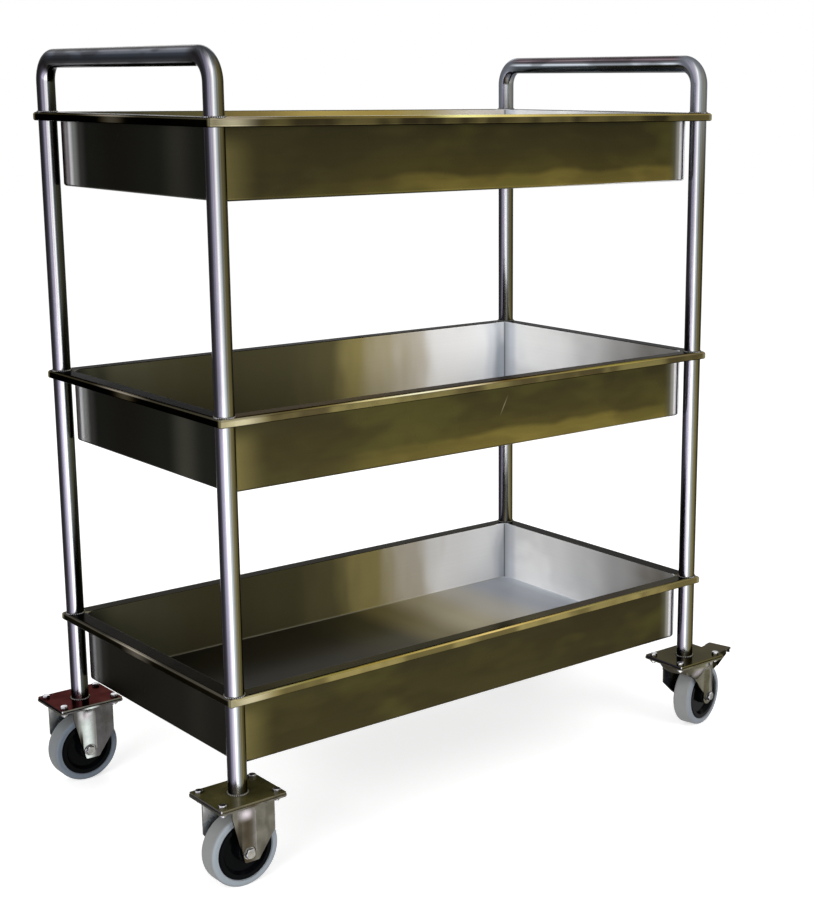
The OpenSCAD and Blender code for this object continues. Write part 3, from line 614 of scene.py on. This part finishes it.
# %% Where the trays hang
TRAYS = ("bottom_tray", "middle_tray", "top_tray")
TRAY_TOPS = [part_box(tray)[1].z for tray in TRAYS]
TRAY_STEP = TRAY_TOPS[1] - TRAY_TOPS[0]
TRAY_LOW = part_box("bottom_tray")[0].z
WALL_INSET = 0.0233
PAN_HALF_L, PAN_HALF_W = HALF_L - WALL_INSET, HALF_W - WALL_INSET
print("tray step", round(TRAY_STEP, 3), "lowest tray under side", round(TRAY_LOW, 3))

# %% Long sides
GLOW_DEPTH = 0.1
SCRATCH_X, SCRATCH_DROP, SCRATCH_LEAN = 0.0418, 0.042, 0.52


def long_side(tree, read, steps, up):
    """Olive sheet with its painted shadow under the rim, painted floor reflection, soft blotches,
    painted leg reflection and scratch, and the painted highlight by its right corner.
    """
    # painted shadow: the wall darkens under the rim, and a little towards the right
    plain = up.strip(0.0, GLOW_DEPTH, [
        (0.0, (61, 56, 33)), (0.05, (57, 52, 30)), (0.085, (53, 49, 30)), (0.097, (42, 39, 26))])
    plain = mix_colour(tree, read.along.rise(0.0, 0.2) * 0.5, plain, tone(46, 42, 25))
    # painted reflection of the floor: a gold glow low down on the two upper trays, with a wobbly
    # edge
    glow_edge_wobble = soft_blotches(tree, (9, 9, 3), 0.3, 0.7) * 0.008
    floor_reflection_glow = (up - glow_edge_wobble).strip(0.0, GLOW_DEPTH, [
        (0.0, (108, 96, 47)), (0.014, (100, 89, 43)), (0.024, (70, 63, 32)), (0.055, (60, 55, 30)),
        (0.080, (53, 49, 28)), (0.089, (42, 39, 26)), (0.099, (34, 32, 23))])
    lit = steps.rise(0.9, 1.0) * read.along.rise(-0.34, 0.0)
    colour = mix_colour(tree, lit, plain, floor_reflection_glow)
    # soft darker blotches and paler olive blotches
    darker_blotches = soft_blotches(tree, (11, 11, 30)) * 0.28
    colour = mix_colour(tree, darker_blotches, colour, tone(42, 36, 23))
    olive_blotches = soft_blotches(tree, (7, 7, 16), 0.48, 0.68) * 0.4
    colour = mix_colour(tree, olive_blotches, colour, tone(82, 79, 38))
    # painted reflection of the left legs, low down by the left end
    leg_reflection = read.along.hump(-PAN_HALF_L, 0.06) * up.fall(0.055, 0.09) * 0.7
    colour = mix_colour(tree, leg_reflection, colour, tone(112, 103, 62))
    above = read.height - (TRAY_TOPS[1] - SCRATCH_DROP)
    off_line = read.along - SCRATCH_X - above * SCRATCH_LEAN
    scratch = off_line.hump(0.0, 0.0014) * above.hump(0.0, 0.017)
    scratch = scratch * (-read.across).rise(0.0, 0.05) * 0.7
    colour = mix_colour(tree, scratch, colour, tone(132, 130, 104))
    # painted highlight down the right corner, where the sheet begins to turn
    past_end = abs(read.along) - PAN_HALF_L
    streak = past_end.strip(-0.048, 0.0, [
        (-0.048, (62, 57, 34)), (-0.032, (80, 78, 62)), (-0.0235, (136, 134, 126)),
        (-0.0185, (240, 238, 236)), (-0.014, (176, 175, 174)), (-0.010, (104, 103, 102)),
        (-0.005, (60, 60, 60))])
    corner_highlight_share = past_end.rise(-0.046, -0.024) * read.along.rise(-0.05, 0.05)
    return mix_colour(tree, corner_highlight_share, colour, streak)


# %% Ends, and the whole outside
OUTER_W = 0.22
STREAK_SHIFT = 0.009


def end_side(tree, read, steps):
    """Nearly black painted reflection, with a painted highlight by the back leg, a pale painted
    sheen band and painted shade on the lowest tray's end.
    """
    upper, highest = steps.rise(0.9, 1.0), steps.rise(1.9, 2.0)
    # painted reflections across the end, with a painted highlight by the back leg
    end = (read.across - (1.0 - highest) * STREAK_SHIFT).strip(-OUTER_W, OUTER_W, [
        (-0.205, (26, 26, 23)), (-0.172, (28, 28, 25)), (-0.125, (40, 39, 34)),
        (-0.07, (25, 25, 21)), (0.05, (21, 20, 16)), (0.128, (24, 24, 21)),
        (0.150, (50, 49, 47)), (0.169, (126, 128, 125)), (0.180, (226, 224, 226)),
        (0.1855, (146, 142, 144)), (0.192, (184, 178, 180)), (0.199, (100, 88, 90)),
        (0.206, (56, 44, 46))])
    pale_sheen_band = read.across.hump(-0.105, 0.045) * (upper * 0.5 - highest * 0.36)
    end = mix_colour(tree, pale_sheen_band, end, tone(62, 62, 54))
    # painted shade on the end of the lowest tray
    shaded_lowest_end = mix_colour(tree, 0.62, end, tone(28, 26, 22))
    return mix_colour(tree, upper, shaded_lowest_end, end)


def outside_colour(tree):
    read = Readings(tree)
    steps = math_node(tree, "DIVIDE", read.height - (TRAY_LOW - 0.001), TRAY_STEP)
    up = math_node(tree, "FRACT", steps) * TRAY_STEP
    is_end = abs(read.faces_x).rise(0.35, 0.8)
    colour = mix_colour(tree, is_end, long_side(tree, read, steps, up),
                        end_side(tree, read, steps))
    # painted shade on faces that look down
    return mix_colour(tree, read.faces_down.rise(0.3, 0.8), colour, tone(40, 37, 24))


sheet_outside = steel("tray outside", outside_colour, grain_scale=(3, 3, 500), depth=0.12,
                      gloss=(0.24, 0.34), cloud=0.18, size=5.0)
print("tray outside:", len(sheet_outside.node_tree.nodes), "nodes")

# %% [markdown]
# ## The inside of the trays
#
# The insides pass light from wall to wall, and that light is painted into their colour: they grow
# from a dark olive at the left to a pale grey at the right, with painted shade in the last few
# millimetres before a corner and on the bottom tray, and a painted gold reflection along the brink
# of the top tray. Such light dies out over several bounces between mirrors, so the sheet is made
# much less of a metal here, with a softer gloss, and its right end is painted pale.

# %% Inside sheet
INNER_L, INNER_W = 0.41, 0.22
BRINK = 0.015
BOTTOM_TRAY_SHADE = (0.74, 0.74, 0.74)


def wall_colour(tree, read):
    """The long walls, in painted light from left to right, with painted shade on the bottom tray
    and the painted gold reflection under the brink of the top tray.
    """
    drift = soft_blotches(tree, (16, 10, 5), 0.3, 0.7) * 0.04
    # painted light: the long walls grow from dark olive at the left to pale grey at the right
    wall = (read.along + (drift - 0.02)).strip(-INNER_L, INNER_L, [
        (-0.395, (40, 40, 34)), (-0.34, (76, 74, 56)), (-0.2, (68, 64, 44)), (-0.05, (76, 72, 49)),
        (0.03, (92, 86, 57)), (0.10, (150, 138, 88)), (0.15, (176, 166, 136)),
        (0.20, (198, 190, 174)), (0.28, (250, 249, 248)), (0.36, (254, 254, 254)),
        (0.39, (234, 236, 240)), (0.41, (176, 182, 190))])
    # painted shade on the walls of the bottom tray
    wall = mix_colour(tree, read.height.fall(0.3, 0.4), wall, BOTTOM_TRAY_SHADE, "MULTIPLY")
    # painted gold reflection under the brink of the top tray
    brink_reflection = read.along.strip(-INNER_L, INNER_L, [
        (-0.39, (56, 53, 42)), (-0.3, (66, 64, 50)), (-0.2, (92, 86, 54)), (-0.1, (134, 117, 68)),
        (0.03, (176, 155, 86)), (0.15, (164, 142, 76)), (0.22, (164, 150, 98)),
        (0.34, (208, 200, 188)), (0.4, (198, 192, 186))])
    top_brink = read.height.rise(TRAY_TOPS[2] - 2 * BRINK, TRAY_TOPS[2] - BRINK)
    return mix_colour(tree, top_brink, wall, brink_reflection)


def end_wall_colour(tree, read):
    # painted light across the end walls, pale towards the back, with a dark painted shade on the
    # left end
    colour = read.across.strip(-INNER_W, INNER_W, [
        (-0.21, (84, 80, 70)), (-0.15, (112, 108, 100)), (-0.08, (166, 165, 165)),
        (0.0, (218, 219, 220)), (0.08, (250, 250, 251)), (0.15, (255, 255, 255)),
        (0.18, (250, 251, 252)), (0.198, (216, 220, 228)), (0.212, (170, 175, 184))])
    clouded = soft_blotches(tree, (10, 9, 14), 0.4, 0.66) * 0.3
    colour = mix_colour(tree, clouded, colour, tone(176, 176, 180))
    return mix_colour(tree, read.along.rise(-0.05, 0.1), tone(48, 46, 32), colour)


def inside_colour(tree):
    read = Readings(tree)
    from_end = PAN_HALF_L - abs(read.along)
    from_side = PAN_HALF_W - abs(read.across)
    is_end = abs(read.faces_x).rise(0.5, 0.9)
    walls = mix_colour(tree, is_end, wall_colour(tree, read), end_wall_colour(tree, read))
    # painted shade in the last few millimetres before a corner
    corner_shade = (from_end - from_side).hump(0.0, 0.003) * from_end.fall(0.008, 0.012) * 0.75
    walls = mix_colour(tree, corner_shade, walls, tone(46, 47, 50))
    # painted light on the floor: dark at the left, pale at the right
    base = read.along.strip(-INNER_L, INNER_L, [
        (-0.38, (32, 30, 24)), (-0.25, (34, 31, 22)), (-0.05, (42, 39, 27)), (0.05, (58, 55, 36)),
        (0.12, (112, 102, 66)), (0.20, (166, 157, 128)), (0.28, (184, 180, 170)),
        (0.34, (173, 177, 185)), (0.38, (186, 191, 199)), (0.40, (206, 212, 220))])
    # a lighter line along the floor's long edges
    floor_edge_line = from_side.hump(0.0025, 0.003) * 0.5
    base = mix_colour(tree, floor_edge_line, base, tone(150, 146, 126))
    return mix_colour(tree, read.faces_z.rise(0.4, 0.85), walls, base)


sheet_inside = steel("tray inside", inside_colour, grain_scale=(3, 3, 500), depth=0.06,
                     gloss=(0.3, 0.4), cloud=0.12, size=5.0, bump=0.01, metallic=0.12, tint=0.8,
                     ior=1.12)
print("tray inside:", len(sheet_inside.node_tree.nodes), "nodes")

# %% [markdown]
# ## The rim of the trays
#
# The rim is turned down all round and mitred at its corners. Its colours are painted reflections:
# the flat top is dark, gold along the front, its outer edge has a painted thin line of light, and
# its end faces are black with one soft painted sheen patch; its front face has a painted highlight
# near the left end, and its underside painted shade. The seam was welded and polished flush, so it
# shows as a fine line in a brighter patch. It lies where the distances to the two edges are equal,
# which needs no texture.

# %% Rim steel
RIM_L = 0.42


def rim_finish(name, tint, flats, edges, dull_face, lit_face):
    """The steel of one rim, painted reflections from a strip for its flat top, one for its edge and
    two face tones.
    """
    def build(tree):
        read = Readings(tree)
        from_side = HALF_W - abs(read.across)
        past_seam = from_side - (HALF_L - abs(read.along))
        on_end = past_seam.rise(-0.0006, 0.0006)
        at_front = (-read.across).rise(0.0, 0.05)

        # painted reflections along the rim, gold on the front and dark behind, with painted
        # highlights
        gold_edge = read.along.strip(-RIM_L, RIM_L, edges)
        gold_flat = read.along.strip(-RIM_L, RIM_L, flats)
        flat = mix_colour(tree, at_front, tone(40, 38, 32), gold_flat)
        brim = from_side.fall(0.0018, 0.0034) * at_front * 0.85
        flat = mix_colour(tree, brim, flat, gold_edge)
        flat = mix_colour(tree, on_end, flat, tone(30, 29, 26))

        end_edge = mix_colour(tree, read.across.hump(0.02, 0.09), tone(76, 73, 64),
                              tone(160, 152, 138))
        edge = mix_colour(tree, at_front, tone(84, 80, 60), gold_edge)
        edge = mix_colour(tree, on_end, edge, end_edge)

        patchy = soft_blotches(tree, (15, 9, 9), 0.38, 0.62)
        face = mix_colour(tree, patchy, tone(*dull_face), tone(*lit_face))
        # painted highlight near the left end of the front face
        face = mix_colour(tree, read.along.hump(-0.4, 0.045) * 0.8, face, tone(186, 178, 146))
        # painted sheen patch on the end faces, paler on faces that look along +X
        end_face = mix_colour(tree, read.across.hump(0.01, 0.05), tone(24, 23, 19),
                              tone(78, 74, 66))
        end_face = mix_colour(tree, read.faces_x.rise(0.3, 0.7), end_face, tone(104, 100, 86))
        face = mix_colour(tree, on_end, face, end_face)

        colour = mix_colour(tree, read.faces_z.rise(0.12, 0.45), face, edge)
        colour = mix_colour(tree, read.faces_z.rise(0.86, 0.96), colour, flat)
        off_seam = abs(past_seam)
        colour = mix_colour(tree, off_seam.fall(0.002, 0.008) * 0.5, colour, tone(152, 146, 118))
        colour = mix_colour(tree, off_seam.fall(0.0002, 0.0007) * 0.6, colour, tone(48, 45, 32))
        # painted shade on faces that look down
        return mix_colour(tree, read.faces_down.rise(0.3, 0.8), colour, tone(26, 24, 18))
    return steel(name, build, grain_scale=(5, 5, 900), depth=0.12, gloss=(0.18, 0.28), cloud=0.2,
                 size=12.0, tint=tint)


# %% The three rims
# each tray's rim is a copy of one steel with its own painted reflections
rim_steels = {
    "top_tray": rim_finish(
        "top rim", 0.3,
        [(-0.41, (170, 156, 130)), (-0.37, (104, 90, 46)), (-0.27, (96, 84, 42)),
         (-0.2, (160, 150, 95)), (-0.12, (184, 168, 106)), (-0.05, (255, 252, 172)),
         (0.03, (248, 234, 154)), (0.1, (208, 188, 132)), (0.18, (165, 146, 90)),
         (0.26, (112, 100, 54)), (0.33, (84, 78, 54)), (0.4, (90, 82, 70))],
        [(-0.41, (160, 150, 126)), (-0.3, (92, 82, 44)), (-0.12, (120, 104, 56)),
         (-0.04, (255, 246, 160)), (0.04, (230, 210, 130)), (0.12, (186, 166, 92)),
         (0.3, (156, 140, 78)), (0.4, (136, 120, 74))],
        (46, 40, 26), (86, 78, 46)),
    "middle_tray": rim_finish(
        "middle rim", 0.22,
        [(-0.41, (112, 102, 84)), (-0.2, (118, 106, 84)), (0.0, (112, 104, 98)),
         (0.1, (116, 108, 98)), (0.25, (94, 88, 74)), (0.4, (84, 82, 70))],
        [(-0.41, (150, 142, 112)), (-0.34, (94, 82, 50)), (-0.27, (120, 108, 64)),
         (-0.2, (214, 200, 144)), (-0.12, (255, 250, 212)), (-0.05, (240, 224, 178)),
         (0.03, (112, 92, 48)), (0.1, (140, 126, 74)), (0.26, (156, 142, 76)),
         (0.4, (122, 110, 80))],
        (70, 62, 40), (112, 103, 64)),
    "bottom_tray": rim_finish(
        "bottom rim", 0.45,
        [(-0.41, (52, 48, 36)), (-0.3, (68, 64, 46)), (-0.12, (66, 62, 46)), (0.05, (84, 79, 58)),
         (0.2, (64, 58, 48)), (0.4, (62, 60, 48))],
        [(-0.41, (180, 170, 126)), (-0.3, (140, 130, 70)), (-0.2, (152, 134, 66)),
         (-0.08, (190, 168, 96)), (0.0, (236, 208, 128)), (0.08, (190, 166, 96)),
         (0.2, (150, 138, 82)), (0.4, (122, 112, 72))],
        (92, 83, 50), (132, 120, 74)),
}
print("rim steels:", ", ".join(rim_steels))

# %% [markdown]
# ## Rubber, nylon and the black hub
#
# The tyres are a matt grey rubber, and their flanks are painted in another light than the tread.
# The back left tyre is a copy in painted shade and the front right one a copy in painted light. The
# hubs are a black moulding that reflects little. None is metal, so each takes a plain colour with a
# soft cloud, and the marks group again for its gloss.

# %% Moulded materials
MOULD_RELIEF, MOULD_GRIT, MOULD_CLOUD = 0.0003, 900.0, 30.0
RUBBER_GLOSS = (0.55, 0.7)


def moulded(name, dark, light, flank, gloss, bump=0.05, mirror=0.5, ior=1.45):
    material, tree = shader_tree(name)
    wear = placed_group(tree, marks, Size=MOULD_CLOUD, Low=gloss[0], High=gloss[1])
    colour = mix_colour(tree, wear.outputs["Cloud"], tone(*dark), tone(*light))
    # painted light on the tyres: the flanks take another tone than the tread
    is_flank = abs(Readings(tree).faces_y).rise(0.4, 0.9)
    surface = new_node(tree, "ShaderNodeBsdfPrincipled", {
        "Base Color": mix_colour(tree, is_flank, colour, tone(*flank)),
        "Roughness": wear.outputs["Roughness"], "IOR": ior, "Specular IOR Level": mirror})
    where = new_node(tree, "ShaderNodeTexCoord")
    fine = new_node(tree, "ShaderNodeTexNoise",
                    {"Scale": MOULD_GRIT, "Vector": where.outputs["Object"]})
    finish_surface(tree, surface, fine.outputs["Fac"], bump, MOULD_RELIEF)
    return material


tyre_rubber = moulded("grey tyre rubber", (112, 113, 113), (126, 127, 127), (136, 143, 150),
                      RUBBER_GLOSS, mirror=0.3)
# copies of the tyre rubber, one in painted shade and one in painted light
shaded_tyre_rubber = moulded("tyre rubber in painted shade", (98, 101, 103), (112, 115, 117), (108, 117, 128),
                      RUBBER_GLOSS, mirror=0.3)
lit_tyre_rubber = moulded("tyre rubber in painted light", (128, 129, 129), (142, 143, 143), (124, 129, 136),
                      RUBBER_GLOSS, mirror=0.3)
hub_black = moulded("black hub", (4, 5, 6), (8, 8, 10), (5, 6, 7), (0.1, 0.2), bump=0.02,
                    mirror=0.3, ior=1.14)
nylon = moulded("nylon bush", (206, 203, 192), (220, 217, 206), (214, 211, 200), (0.35, 0.5))
print("materials:", len(bpy.data.materials))

# %% [markdown]
# ## Polishing the CAD parts
#
# The CAD meshes are loose triangles, which is right for their size but shades roughly where a
# bright metal shows every facet. A copy with its doubles merged, its flat faces joined and its
# soft edges shaded smooth keeps the shape and takes the light cleanly. Remodelling each part
# would risk its dimensions, so the copy stands in for the node.

# %% Polished copies
MERGE_GAP = 2e-6
FLAT_ANGLE = math.radians(0.6)
SHARP_ANGLE = math.radians(28)


def make_plain(thing):
    """Applies what is live on an object, and takes its modifiers off."""
    bpy.context.view_layer.update()
    solid = bpy.data.meshes.new_from_object(
        thing.evaluated_get(bpy.context.evaluated_depsgraph_get()))
    thing.modifiers.clear()
    thing.data = solid


def polished(node, material_of):
    """A clean smooth-shaded copy of a CAD node. material_of gives the finish of a face."""
    work = bmesh.new()
    work.from_mesh(nodes[node].data)
    bmesh.ops.remove_doubles(work, verts=work.verts, dist=MERGE_GAP)
    bmesh.ops.dissolve_limit(work, angle_limit=FLAT_ANGLE, verts=work.verts, edges=work.edges)
    materials = []
    for face in work.faces:
        face.smooth = True
        chosen = material_of(face)
        if chosen not in materials:
            materials.append(chosen)
        face.material_index = materials.index(chosen)
    mesh = bpy.data.meshes.new(node + "_piece")
    work.to_mesh(mesh)
    work.free()
    for material in materials:
        mesh.materials.append(material)
    mesh.set_sharp_from_angle(angle=SHARP_ANGLE)
    piece = bpy.data.objects.new(node + "_piece", mesh)
    scene.collection.objects.link(piece)
    even = piece.modifiers.new("even normals", "WEIGHTED_NORMAL")
    even.keep_sharp = True
    make_plain(piece)
    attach(piece, nodes[node]["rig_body"])
    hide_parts(node)
    return piece


# %% [markdown]
# ## The trays
#
# One folded sheet makes rim, walls and floor, but its finishes differ. Each face picks its own by
# where it lies: outside the fold it belongs to the rim, and else the side of the sheet that it is
# on decides.

# %% Trays
SHEET = 0.0012
RIM_H = 0.012
FOLD_H = 0.004
INNER_DEPTH = 0.1004
EDGE_MARGIN, RIM_MARGIN = 0.0002, 0.001


def tray_finish(node):
    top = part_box(node)[1].z

    def choose(face):
        spot = face.calc_center_median()
        inside = min(PAN_HALF_L - abs(spot.x - MIDDLE_X), PAN_HALF_W - abs(spot.y))
        if inside < -EDGE_MARGIN and spot.z > top - RIM_H - RIM_MARGIN:
            return rim_steels[node]
        if abs(face.normal.z) > 0.9 and spot.z > top - FOLD_H:
            return rim_steels[node]
        floor_face = face.normal.z > 0.5 and top - INNER_DEPTH < spot.z < top - INNER_DEPTH / 2
        inner_side = spot.z > top - INNER_DEPTH and inside > SHEET * 0.7
        return sheet_inside if floor_face or inner_side else sheet_outside
    return choose


for tray in reversed(TRAYS):
    piece = polished(tray, tray_finish(tray))
    print(tray, "faces:", len(piece.data.polygons))

# %% [markdown]
# ## The tube frames
#
# Each end is one tube, bent twice. A path with filleted corners swept by a circle is just what
# the bending machine makes, so Geometry Nodes build it from the leg spacing, the handle height
# and the bend radius. Changing a size there bends a new frame.

# %% Geometry trees
def geometry_tree(name, inputs):
    tree = bpy.data.node_groups.new(name, "GeometryNodeTree")
    sockets = {}
    for label, kind, value in inputs:
        socket = tree.interface.new_socket(label, in_out="INPUT", socket_type=kind)
        if value is not None:
            socket.default_value = value
        sockets[label] = socket.identifier
    tree.interface.new_socket("Geometry", in_out="OUTPUT", socket_type="NodeSocketGeometry")
    return tree, tree.nodes.new("NodeGroupInput"), sockets


def finish_tree(tree, shape, material):
    """Smooth shading, Realize Instances and Set Material end every tree."""
    smooth = new_node(tree, "GeometryNodeSetShadeSmooth", {"Geometry": shape})
    real = new_node(tree, "GeometryNodeRealizeInstances", {0: smooth.outputs[0]})
    paint = new_node(tree, "GeometryNodeSetMaterial",
                     {"Geometry": real.outputs[0], "Material": material})
    new_node(tree, "NodeGroupOutput", {0: paint.outputs[0]})


def grown(name, tree, sockets, values, start=None):
    """An object whose mesh the tree has made, with the modifier already taken off."""
    holder = bpy.data.objects.new(name, start or bpy.data.meshes.new(name))
    scene.collection.objects.link(holder)
    grow = holder.modifiers.new("grow", "NODES")
    grow.node_group = tree
    for label, value in values.items():
        grow[sockets[label]] = value
    make_plain(holder)
    return holder


# %% Frame tube tree
tube_tree, given, tube_inputs = geometry_tree("Bent frame tube", [
    ("Middle", "NodeSocketVector", (0, 0, 0)), ("Leg spacing", "NodeSocketFloat", 0.45),
    ("Foot height", "NodeSocketFloat", 0.127), ("Handle height", "NodeSocketFloat", 1.058),
    ("Bend radius", "NodeSocketFloat", 0.032), ("Tube radius", "NodeSocketFloat", 0.0127),
    ("Material", "NodeSocketMaterial", None)])
BEND_STEPS, ROUND_STEPS = 22, 72
CORNERS = ((-0.5, "Foot height"), (-0.5, "Handle height"),
           (0.5, "Handle height"), (0.5, "Foot height"))
corner = new_node(tube_tree, "GeometryNodeIndexSwitch", data_type="VECTOR")
while len(corner.index_switch_items) < len(CORNERS):
    corner.index_switch_items.new()
index = new_node(tube_tree, "GeometryNodeInputIndex")
fill(tube_tree, corner.inputs[0], index.outputs[0])
for slot, (side, level) in enumerate(CORNERS, start=1):
    point = new_node(tube_tree, "ShaderNodeCombineXYZ", {
        "Y": math_node(tube_tree, "MULTIPLY", given.outputs["Leg spacing"], side),
        "Z": given.outputs[level]})
    fill(tube_tree, corner.inputs[slot], point.outputs[0])
spot = vector_node(tube_tree, "ADD", corner.outputs[0], given.outputs["Middle"])
row = new_node(tube_tree, "GeometryNodeMeshLine", {"Count": len(CORNERS)})
placed = new_node(tube_tree, "GeometryNodeSetPosition",
                  {"Geometry": row.outputs[0], "Position": spot})
path = new_node(tube_tree, "GeometryNodeMeshToCurve", {0: placed.outputs[0]})
bent = new_node(tube_tree, "GeometryNodeFilletCurve", {
    "Curve": path.outputs[0], "Radius": given.outputs["Bend radius"], "Count": BEND_STEPS},
    mode="POLY")
section = new_node(tube_tree, "GeometryNodeCurvePrimitiveCircle",
                   {"Resolution": ROUND_STEPS, "Radius": given.outputs["Tube radius"]})
sweep = new_node(tube_tree, "GeometryNodeCurveToMesh", {
    "Curve": bent.outputs[0], "Profile Curve": section.outputs[0], "Fill Caps": True})
finish_tree(tube_tree, sweep.outputs[0], given.outputs["Material"])
print("frame tube tree:", len(tube_tree.nodes), "nodes")

# %% Frame tubes
BEND_R = 0.032
CAP_ANGLE = math.radians(60)

for node, leg_x in zip(FRAME_TUBES, (LEFT_LEG_X, RIGHT_LEG_X)):
    low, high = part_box(node)
    tube = grown(node + "_piece", tube_tree, tube_inputs, {
        "Middle": (leg_x, 0, 0), "Leg spacing": 2 * LEG_Y, "Foot height": low.z,
        "Handle height": high.z - TUBE_R, "Bend radius": BEND_R, "Tube radius": TUBE_R,
        "Material": tube_steel})
    tube.data.set_sharp_from_angle(angle=CAP_ANGLE)
    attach(tube, "trolley")
    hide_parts(node)
    print(node, "vertices:", len(tube.data.vertices))

# %% [markdown]
# ## The weld beads
#
# Each leg is welded where it passes a rim, and again on its foot plate. A hand-laid bead is a
# row of small overlapping ripples, which is a repeat along a ring: Geometry Nodes set a ripple
# on each step of a circle, turned to follow it, and that ring at every joint.

# %% Weld bead tree
bead_tree, given, bead_inputs = geometry_tree("Weld bead", [
    ("Geometry", "NodeSocketGeometry", None),
    ("Ring radius", "NodeSocketFloat", 0.0132), ("Ripples", "NodeSocketInt", 26),
    ("Bead size", "NodeSocketFloat", 0.0016), ("Seed", "NodeSocketInt", 4),
    ("Material", "NodeSocketMaterial", None)])
circle = new_node(bead_tree, "GeometryNodeCurvePrimitiveCircle", {
    "Resolution": given.outputs["Ripples"], "Radius": given.outputs["Ring radius"]})
steps = new_node(bead_tree, "GeometryNodeCurveToPoints", {"Curve": circle.outputs[0]},
                 mode="EVALUATED")
ripple = new_node(bead_tree, "GeometryNodeMeshUVSphere",
                  {"Segments": 10, "Rings": 6, "Radius": given.outputs["Bead size"]})
vary = new_node(bead_tree, "FunctionNodeRandomValue",
                {2: 0.85, 3: 1.12, "Seed": given.outputs["Seed"]}, data_type="FLOAT")
laid = new_node(bead_tree, "GeometryNodeInstanceOnPoints", {
    "Points": steps.outputs["Points"], "Instance": ripple.outputs["Mesh"],
    "Rotation": steps.outputs["Rotation"], "Scale": vary.outputs[1]})
ring = new_node(bead_tree, "GeometryNodeRealizeInstances", {0: laid.outputs[0]})
joints = new_node(bead_tree, "GeometryNodeInstanceOnPoints",
                  {"Points": given.outputs["Geometry"], "Instance": ring.outputs[0]})
finish_tree(bead_tree, joints.outputs[0], given.outputs["Material"])
print("weld bead tree:", len(bead_tree.nodes), "nodes")

# %% Weld beads
RIPPLES = 28
BEAD_STAND = 0.15
legs = [(x, y) for x in (LEFT_LEG_X, RIGHT_LEG_X) for y in (-LEG_Y, LEG_Y)]


def bead_rings(node, levels, size):
    seats = bpy.data.meshes.new(node + "_seats")
    seats.from_pydata([(x, y, z) for x, y in legs for z in levels], [], [])
    rings = grown(node + "_piece", bead_tree, bead_inputs, {
        "Ring radius": TUBE_R + size * BEAD_STAND, "Bead size": size, "Ripples": RIPPLES,
        "Material": weld_steel}, start=seats)
    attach(rings, "trolley")
    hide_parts(node)
    print(node, "rings:", len(legs) * len(levels), "vertices:", len(rings.data.vertices))


bead_rings("tray_weld_beads", TRAY_TOPS, 0.0016)
bead_rings("foot_weld_beads", [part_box("front_left_foot_plate")[1].z], 0.0018)

# %% [markdown]
# ## Feet and casters
#
# Foot plates, brackets, forks, wheels and fasteners keep the shape that the CAD gives them.
# They only need a smooth-shaded copy and the finish of their slot. A few of them have a finish
# of their own, a copy painted with the reflections, light and shade seen at that foot, because the
# photograph shows the same part in another tone at each foot.

# %% Feet and casters
finish_of = {
    "foot_plate": plate_olive, "fastener": bright_zinc, "caster_steel": caster_steel,
    "bearing_steel": bearing_steel, "bush": nylon, "hub": hub_black, "tyre": tyre_rubber,
    "brake_steel": brake_steel,
}
# copies painted with the reflections, light and shade seen at one foot
special_finish = {
    "front_left_foot_plate": plate_front, "back_left_foot_plate": plate_maroon,
    "front_left_bracket": fork_front, "back_left_bracket": fork_left,
    "back_left_tyre": shaded_tyre_rubber, "front_right_tyre": lit_tyre_rubber,
}
feet = [node for node, slot in slot_of.items() if slot in finish_of]
for node in feet:
    finish = special_finish.get(node, finish_of[slot_of[node]])
    polished(node, lambda face, finish=finish: finish)
print("dressed", len(feet), "feet and caster parts")
